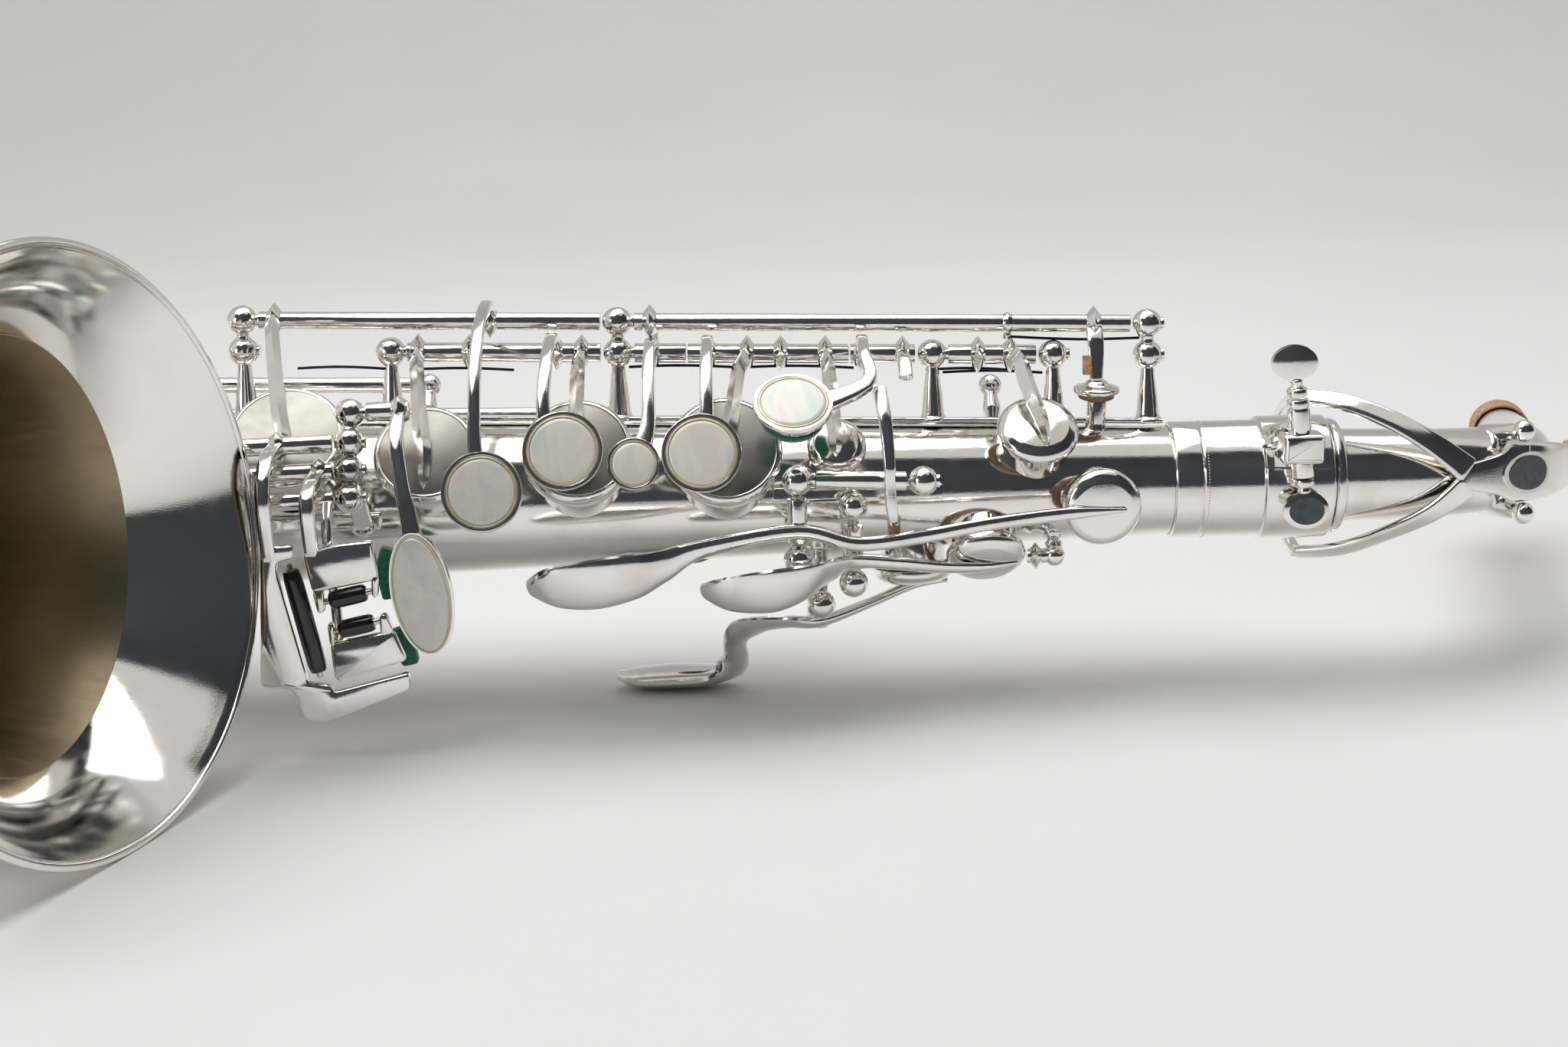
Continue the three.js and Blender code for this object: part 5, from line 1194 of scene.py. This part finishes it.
# ---- right hand stack and little finger keys -----------------------------------------------------
def right_hand_keys():
    for name, x0, x1, arm_x, touch_x in [("f_sharp", -296.6, -272.4, -284, None),
                                         ("f", -332, -304.4, -315, -324),
                                         ("e", -362.2, -332.4, -348, -354),
                                         ("d", -396.2, -369.8, -383, -376)]:
        open_cup = cup(HOLES[name], OPEN_LIFT)
        shells = [key_tube(x0, x1), open_cup[0], cup_arm(arm_x, HOLES[name], OPEN_LIFT, beyond=6),
                  *collars([arm_x])]
        extras = cup_extras([open_cup])
        if touch_x:
            r = body_radius(touch_x) + INNER_ROD
            shells += [holder_of(name), touch_arm(touch_x, name, INNER_ROD, [(88, r + 5), (76, r + 6)])]
            shells += collars([touch_x])
        key(name + "_key", shells, extras)
        if touch_x:
            at, deg, _ = TOUCH[name]
            pearl(name + "_pearl", at, normal_at(deg), 1, name + "_key")

    def at(x, deg=LOW_ROD["deg"], height=LOW_ROD["height"]):
        return above(x, height, deg)

    def touch(x):
        return loft([at(x, 96, 22), at(x, 88, 22.6), at(x, 78, 22)], [5.4, 6.2, 5.0], 1.2,
                    normals(96, 88, 78))

    def stem(x):
        return loft([at(x), at(x, 104, 20), at(x, 94, 22)], 1.8, 1.2,
                    normals(112, 104, 94))

    shut = cup(HOLES["e_flat"], SHUT_LIFT)
    top = cup_top(HOLES["e_flat"], SHUT_LIFT)
    key("low_e_flat_key", [
        rod(at(-432), at(-416.6), 2.2), touch(-419), stem(-419), shut[0],
        arm(-430, [(112, body_radius(-430) + 15), (128, top + 4), (142, top + 1.4), (160, top)], 1.6,
            1.2),
    ], cup_extras([shut]))
    up = around(0, 1, ROLL + 90)
    seat = front(-490, 12, 0) + up * (BOW_IN + (BOW_OUT - BOW_IN) * 45 / BOW_TURN + CHIMNEY + OPEN_LIFT)
    low_c = cup_shells(seat, up, 15)
    key("low_c_key", [
        rod(at(-445.2), at(-432.4), 2.2), touch(-434), stem(-434), low_c[0],
        loft([at(-441), V(-444, 6, 43.5), V(-462, -4, 43.5), seat + up * 5], 1.8, 1.4, up),
    ], cup_extras([low_c]))
    make("low_c_tone_hole", [chimney(seat - up * (CHIMNEY + OPEN_LIFT), up, 13.3, CHIMNEY, 27)], SILVER)


# ---- guards, brace, rings and hooks --------------------------------------------------------------
def fittings():
    (a, a_n, a_ahead), (b, b_n, b_ahead) = (bell_seat(hole["u"], 0) for hole in BELL_HOLES)
    lift = CHIMNEY + OPEN_LIFT + CUP_DEPTH + 9

    def leg(at, n, ahead, along):
        foot = at + ahead * along + n
        head = at + ahead * (along * 0.72) + n * lift
        return [lathe([(0, 0), (4, 0), (3.6, 0.8), (1.9, 2), (1.5, (head - foot).length),
                       (0, (head - foot).length)], foot,
                      head - foot, 24)]

    ridge = [a - a_ahead * 15 + a_n * lift, a + a_n * lift, b + b_n * lift, b + b_ahead * 15
             + b_n * lift]
    shells = [loft(ridge, 3.6, 1.2, a_n, steps=6)]
    shells += leg(a, a_n, a_ahead, -20) + leg(b, b_n, b_ahead, 21) + leg(a, a_n, a_ahead, 26)
    for at, n in ((a, a_n), (b, b_n)):
        shells.append(lathe([(0, -3), (4.4, -3), (4.4, 1.6), (3.4, 2.2), (0, 2.2)], at + n * lift, n,
                            32))
    make("bell_guard_bars", shells, SILVER, node="bell_key_guard")

    def wire(x):
        r = body_radius(x) + 0.8
        steps = [(r, -128), (40, -122), (46.7, -97), (46.7, -84), (42, -62), (r, -40)]
        return loft([around(x, radius, deg) for radius, deg in steps], 1.5, 1.3,
                    [normal_at(deg) for _, deg in steps], ROUND)

    make("c_sharp_guard_wires", [wire(-408.5), wire(-446.5),
                                 loft([around(-448, 46.4, -90), around(-407, 46.4, -90)], 3.4,
                                                                  0.8, V(0, 0, -1))], SILVER,
         node="low_c_sharp_guard")

    foot, head = above(-312, 0.8, -26), front(-312, 48.6, -17)
    length = (head - foot).length
    shells = [lathe([(0, 0), (5, 0), (5, 1.4), (2.6, 2.4), (2.2, length / 2), (2.2, length - 2),
                     (3.4, length), (0, length)],
                    foot, head - foot, 32), ball(foot.lerp(head, 0.5), 4.2)]
    make("brace_rod", shells, SILVER, node="bell_brace")

    back = 188
    ring_at = above(-218, 8.4, back)
    hoop = [(5.5 + 1.35 * cos(a), 1.35 * sin(a)) for a in turns(12)]
    make("strap_ring_hoop", [
        lathe(hoop, ring_at, around(0, 1, back + 90), 48, closed=True, cut=0),
        loft([above(-226, 1.2, back), above(-218, 1.2, back), above(-210, 1.2, back)], [3.2, 4.6, 3.2],
             0.6, normal_at(back)),
        rod(above(-218, 1, back), above(-218, 3, back), 2.2),
    ], SILVER, node="strap_ring")
    make("thumb_hook_arm", [
        loft([above(-280, 1.4, 196), above(-269, 1.4, 196), above(-258, 1.4, 196)], 5, 0.7,
             normal_at(196)),
        loft([above(-266, 1.4, 196), above(-263, 9, 196), above(-265, 18, 198), above(-275, 23, 200),
              above(-285, 20, 200)],
             [5.6, 6, 6.2, 6, 4.6], 1.2, [V(1, 0, 0), V(1, 0, 0), V(0.8, 0.6, 0), normal_at(198),
                                          normal_at(200)]),
    ], SILVER, node="thumb_hook")


# ---- neck receiver, screws and neck --------------------------------------------------------------
SCREW_X, SCREW_Y, SCREW_LEAN = -12.2, -19, -0.105


def screw_at(z):
    """The clamp screw's axis, which leans a little."""
    return V(SCREW_X + SCREW_LEAN * z, SCREW_Y, z)


def receiver():
    """The neck receiver: a sleeve, the clamp block, two bosses and the wing beside them."""
    sleeve = [(12.75, -36.8), (13.6, -36.4), (13.6, -30.4), (13.35, -30.1), (13.6, -29.8),
              (13.6, -16.4), (14.4, -16.0),
              (14.4, -0.8), (14, -0.3), (11.9, -0.3), (11.9, -35), (12.75, -35.6)]
    block = slab([(-4.7, 7.8), (4.7, 7.8), (4.7, 14.6), (-4.7, 14.6)], 12.5,
                 V(screw_at(11).x, -10.5, 0), FACE, UP, 1.2)
    tall = 8.4
    upper_boss = lathe([(0, 0), (2.6, 0), (2.6, tall - 2.4), (2.35, tall - 2.1), (2.6, tall - 1.8),
                        (2.6, tall - 0.5),
                        (2.2, tall), (0, tall)], screw_at(14), screw_at(22.4) - screw_at(14), 32)
    lower_boss = cone(screw_at(9), screw_at(4.4), 2.6, 2.6, 32)
    wing = loft([V(-17, -9.5, 11.6), V(-16.6, -13.4, 12.6), V(-15, -17, 14.5)], [3.6, 3.2, 2.4],
                [3, 3, 2.6], UP)
    make("receiver_sleeve", [lathe(sleeve, V(COLLAR_X, 0, 0), ALONG, 96, closed=True, cut=0.25), block,
                             upper_boss,
                             lower_boss, wing], SILVER, node="neck_receiver")
    # Painted shade: a thin dark strip stands in for the shadow inside the clamp slit, which isn't cut
    # into the sleeve.
    slit = [around(-19.6, 14.2, 22), around(-12, 14.25, 20), around(-4.6, 14.3, 18)]
    make("clamp_slit", [loft(slit, 0.28, 0.25, normal_at(20), ROUND)], ENAMEL_AND_PAINTED_SHADE)
    dots = [ball(around(-32.6, 13.55, 360 * k / 120), 0.16) for k in range(120)]
    make("receiver_milled_line", dots, AGED)


def thumbscrew(name, z, z_tip, wide, high, up, face):
    """A turned shank with a flat paddle. One screw has an enamelled face."""
    at = screw_at(z)
    tip = screw_at(z_tip)
    neck_end = screw_at(z - up * (high / 2 - 0.6))
    rings = []
    for depth, inset in [(-1.3, None), (-1.3, 1.1), (-0.8, 0.2), (0, 0), (0.8, 0.2), (1.3, 1.1),
                         (1.3, None)]:
        count = 1 if inset is None else 48
        half_wide, half_high = wide / 2 - (inset or wide / 2), high / 2 - (inset or high / 2)
        rings.append([at + V(half_wide * cos(a), -depth, half_high * sin(a)) for a in turns(count)])
    shank = (neck_end - tip).length
    stem = lathe([(0, 0), (2.4, 0), (2.4, 1.6), (1.7, 2.1), (1.2, shank * 0.6), (1.6, shank - 0.6),
                  (1.3, shank), (0, shank)],
                 tip, neck_end - tip, 28)
    make(name + "_paddle", [skin(rings), stem], SILVER, name, name)
    if face:
        disc = [[at + V(0, -1.25, 0)]]
        for inset, depth in [(1.3, 1.25), (1.3, 1.42)]:
            disc.append([at + V((wide / 2 - inset) * cos(a), -depth, (high / 2 - inset) * sin(a))
                         for a in turns(48)])
        disc.append([at + V(0, -1.42, 0)])
        make(name + "_face", [skin(disc)], ENAMEL_AND_PAINTED_SHADE, name)


NECK_SIDE = around(0, 1, NECK_ANGLE)
BEND_LENGTH = radians(NECK_TURN) * NECK_BEND
NECK_LENGTH = NECK_STRAIGHT + BEND_LENGTH + 95
NECK_ACROSS = around(0, 1, NECK_ANGLE + 90)
SADDLE_S = 37
PIP_S = 78


def neck_point(s):
    """The neck's centre line: straight, one bend, straight."""
    if s < NECK_STRAIGHT:
        return V(s, 0, 0)
    a = min((s - NECK_STRAIGHT) / NECK_BEND, radians(NECK_TURN))
    p = V(NECK_STRAIGHT + NECK_BEND * sin(a), 0, 0) + NECK_SIDE * (NECK_BEND * (1 - cos(a)))
    left = max(s - NECK_STRAIGHT - BEND_LENGTH, 0)
    return p + (ALONG * cos(radians(NECK_TURN)) + NECK_SIDE * sin(radians(NECK_TURN))) * left


def neck_radius(s):
    return 11 - (11 - 6.3) * (max(s, 0) / NECK_LENGTH)


def neck_ahead(s):
    return (neck_point(s + 0.5) - neck_point(s - 0.5)).normalized()


def neck_out(s):
    return NECK_ACROSS.cross(neck_ahead(s)).normalized()


def neck_hinge(side):
    return neck_point(SADDLE_S) + NECK_ACROSS * side + neck_out(SADDLE_S) * (neck_radius(SADDLE_S) + 2)


def neck_skin(steps, outer, inner, sides=64):
    out_rings, in_rings = [], []
    for s in steps:
        n = neck_out(s)
        w = n.cross(neck_ahead(s))
        spokes = [n * cos(a) + w * sin(a) for a in turns(sides)]
        out_rings.append([neck_point(s) + spoke * outer(s) for spoke in spokes])
        in_rings.append([neck_point(s) + spoke * inner(s) for spoke in spokes])
    return skin(out_rings + in_rings[::-1], closed=True)


def neck():
    start = COLLAR_X - 0.3
    steps = [start + (NECK_LENGTH - start) * k / 64 for k in range(65)]
    collar_profile = [(10.4, 0.2), (13.2, 0.2), (13.6, 1), (13.2, 2.4), (11.3, 3.4), (10.4, 3.4)]
    shells = [
        lathe([(10, -27), (11.5, -27), (11.5, 0.3), (10, 0.3)], V(COLLAR_X, 0, 0), ALONG, 64,
              closed=True),
        lathe(collar_profile, V(COLLAR_X, 0, 0), ALONG, 64, closed=True),
        neck_skin(steps, neck_radius, lambda s: neck_radius(s) - 1),
    ]
    for side in (-1, 1):
        shells.append(ball(neck_hinge(side * 9.6), 2.6, NECK_ACROSS))
        shells.append(cone(neck_point(SADDLE_S) + NECK_ACROSS * (side * 8.2), neck_hinge(side * 9.6),
                           2.4, 1.8))
    pip_at = neck_point(PIP_S) + neck_out(PIP_S) * (neck_radius(PIP_S) - 1)
    shells.append(lathe([(0.9, 0), (2.6, 0), (2, 1.4), (1.8, 4), (0.9, 4)], pip_at, neck_out(PIP_S),
                        24, closed=True))
    end = neck_point(NECK_LENGTH - 1.2)
    shells.append(lathe([(5.4, -0.6), (6.7, -0.6), (6.9, 0.3), (6.7, 1.2), (5.4, 1.2)], end,
                        neck_ahead(NECK_LENGTH), 48,
                        closed=True))
    make("neck_pipe", shells, SILVER, "neck_tube", "neck_tube")

    s0, s1 = NECK_LENGTH - 24, NECK_LENGTH - 1.5
    span = s1 - s0
    cork = [(neck_radius(s0) + GAP, 0), (7.9, 0), (8, 3), (8, span - 1.5), (7.6, span),
            (neck_radius(s1) + GAP, span)]
    make("neck_cork_sleeve", [lathe(cork, neck_point(s0), neck_ahead(s0 + 2), 64, closed=True)], CORK,
         "neck_tube", "neck_cork")


def neck_octave_key():
    def lift(s, h):
        return neck_point(s) + neck_out(s) * (neck_radius(s) + h)

    ring, flats = [], []
    for k in range(17):
        deg = 94 + k * 172 / 16
        ring.append(around(-9 - 3 * sin(radians(deg - 90)) ** 2, 18.7, deg))
        flats.append(around(0, 1, deg))

    def fork(side):
        start = ring[0] if side > 0 else ring[-1]
        bends = [(0, -3.6, 17.4, 0.6), (10, -8.2, 13.2, 1.2), (19, -11.2, 8, 1.2),
                 (26.6, -11.4, 2, 1.2)]
        points = [start] + [V(x, y, z * side + rise) for x, y, z, rise in bends]
        return loft(points, [1.9, 2.1, 2.4, 2.7, 3.2], 1,
                    [V(0, -1, side), V(-0.1, -1, side * 0.9), V(0.2, -1, side * 0.8),
                     V(0.3, -1, side * 0.5), V(0.5, -1, 0)],
                    steps=7)

    along = [23, 30, 34, 42, 50, 60, 70, 80]
    rise = [2.4, 2.4, 2.4, 2.6, 3.4, 4.8, 6.2, 6.6]
    pad = neck_point(PIP_S) + neck_out(PIP_S) * (neck_radius(PIP_S) + 3.4)
    key("neck_octave_key", [
        loft(ring, 1.4, 1.1, flats, steps=1), fork(1), fork(-1),
        loft([lift(s, h) for s, h in zip(along, rise)], [2.8, 4.6, 6.6, 6.6, 5.4, 3.2, 2.2, 1.4],
             [1, 1, 1.1, 1.1, 1.1, 1.1, 1, 0.9], [neck_out(s) for s in along]),
        rod(neck_hinge(-6.4), neck_hinge(6.4), 1.5),
        lathe([(0, 1.2), (3.9, 1.2), (3.9, 2.2), (2.4, 2.9), (0, 3)], pad, neck_out(PIP_S), 32),
    ], [("pad", CORK, [lathe([(0, 0), (3.2, 0), (3.3, 1.3), (0, 1.3)], pad, neck_out(PIP_S), 32)])])

    def badge(scale, rise_low, rise_high):
        """A plain oval disc on the widest part of the key."""
        centre, half_length, half_width = 37.0, 6.3, 4.9
        rings = []
        for level in (rise_low, rise_high):
            rings.append([lift(centre + half_length * scale * cos(a), 3.4 + level)
                          + NECK_ACROSS * (half_width * scale * sin(a)) for a in turns(40)])
        return skin(rings)

    make("neck_badge_border", [badge(1.0, 0, 0.45)], SILVER, "neck_octave_key")
    make("neck_badge_field", [badge(0.82, 0.2, 0.55)], ENAMEL_AND_PAINTED_SHADE, "neck_octave_key")


for build in (body_tube, bow, bell, bow_ring, ribs, springs, left_hand_stack, g_sharp_lever,
              front_f_link,
              octave_keys, side_keys, palm_posts, palm_keys, left_rib, left_table, right_hand_keys,
              fittings,
              receiver):
    build()
thumbscrew("neck_screw", 30.4, 22.8, 10.6, 8.4, 1, False)
thumbscrew("lyre_screw", -3.4, 4, 10.6, 9, -1, True)
neck()
neck_octave_key()

# ---- studio --------------------------------------------------------------------------------------
floor_material = new_material("sweep_paper", (0.86, 0.86, 0.86), 0.6)
ramp(floor_material, noise(floor_material, 6, 3), [(0.3, (0.84, 0.84, 0.84)),
                                                   (0.7, (0.87, 0.87, 0.87))], "Base Color")


def sweep():
    """The paper floor, curving up into a backdrop behind the instrument."""
    profile = [(-2.5, 0), (0.9, 0)]
    profile += [(0.9 + 0.9 * sin(radians(a)), 0.9 - 0.9 * cos(radians(a))) for a in range(10, 91, 10)]
    profile.append((1.8, 3.0))
    verts = [(x, y, z) for y, z in profile for x in (-4, 4)]
    faces = [(2 * i, 2 * i + 1, 2 * i + 3, 2 * i + 2) for i in range(len(profile) - 1)]
    mesh = bpy.data.meshes.new("studio_sweep")
    mesh.from_pydata(verts, [], faces)
    mesh.polygons.foreach_set("use_smooth", [True] * len(faces))
    mesh.materials.append(floor_material)
    obj = bpy.data.objects.new("studio_sweep", mesh)
    bpy.context.scene.collection.objects.link(obj)


def aim(obj, at, toward, face):
    """Adds an object to the scene with the given side of it turned to a target."""
    obj.location = at
    obj.rotation_euler = (Vector(toward) - Vector(at)).to_track_quat(face, "Y").to_euler()
    bpy.context.scene.collection.objects.link(obj)


def card(name, at, toward, width, height, color, glow):
    """A studio card that only reflections and light see."""
    mesh = bpy.data.meshes.new(name)
    w, h = width / 2, height / 2
    mesh.from_pydata([(-w, -h, 0), (w, -h, 0), (w, h, 0), (-w, h, 0)], [], [(0, 1, 2, 3)])
    material = new_material(name, color, 0.9)
    shader = material.node_tree.nodes["Principled BSDF"]
    shader.inputs["Emission Color"].default_value = (0.80, 0.88, 1, 1)
    shader.inputs["Emission Strength"].default_value = glow
    mesh.materials.append(material)
    obj = bpy.data.objects.new(name, mesh)
    aim(obj, at, toward, "Z")
    obj.visible_camera = False
    obj.visible_shadow = False


def softbox(name, at, toward, size, power):
    data = bpy.data.lights.new(name, "AREA")
    data.shape = "RECTANGLE"
    data.size, data.size_y = size
    data.energy = power
    aim(bpy.data.objects.new(name, data), at, toward, "-Z")


sweep()
middle = Vector((0.1, 0, 0.05))
softbox("overhead_softbox", (0.0, 0.10, 1.1), middle, (1.6, 0.8), 10)
softbox("left_softbox", (-0.85, -0.75, 0.30), middle, (0.3, 0.5), 2.5)
ROOM = (0.02, 0.023, 0.03)
card("dark_front_room", (0.1, -0.8, 0.95), (0.1, 0, 0.95), 3.0, 2.0, ROOM, 0.02)
card("dark_right_room", (1.5, -0.35, 0.95), (0, -0.35, 0.95), 1.2, 2.0, ROOM, 0.02)

world = bpy.data.worlds.new("studio_air")
bpy.context.scene.world = world
world.use_nodes = True
world.node_tree.nodes["Background"].inputs["Color"].default_value = (1.0, 0.99, 0.97, 1)
world.node_tree.nodes["Background"].inputs["Strength"].default_value = 0.6

# ---- camera --------------------------------------------------------------------------------------
camera = bpy.data.objects.new("camera", bpy.data.cameras.new("camera"))
camera.data.sensor_width = 36
camera.data.lens = 51.86
camera.location = ORIGIN + V(*CAMERA_AT) * MM
pitch = Matrix.Rotation(radians(CAMERA_PITCH), 3, "X")
yaw = Matrix.Rotation(radians(CAMERA_YAW), 3, "Z")
camera.rotation_euler = (pitch @ yaw).to_euler()
bpy.context.scene.collection.objects.link(camera)
bpy.context.scene.camera = camera
bpy.context.scene.view_settings.view_transform = "Standard"
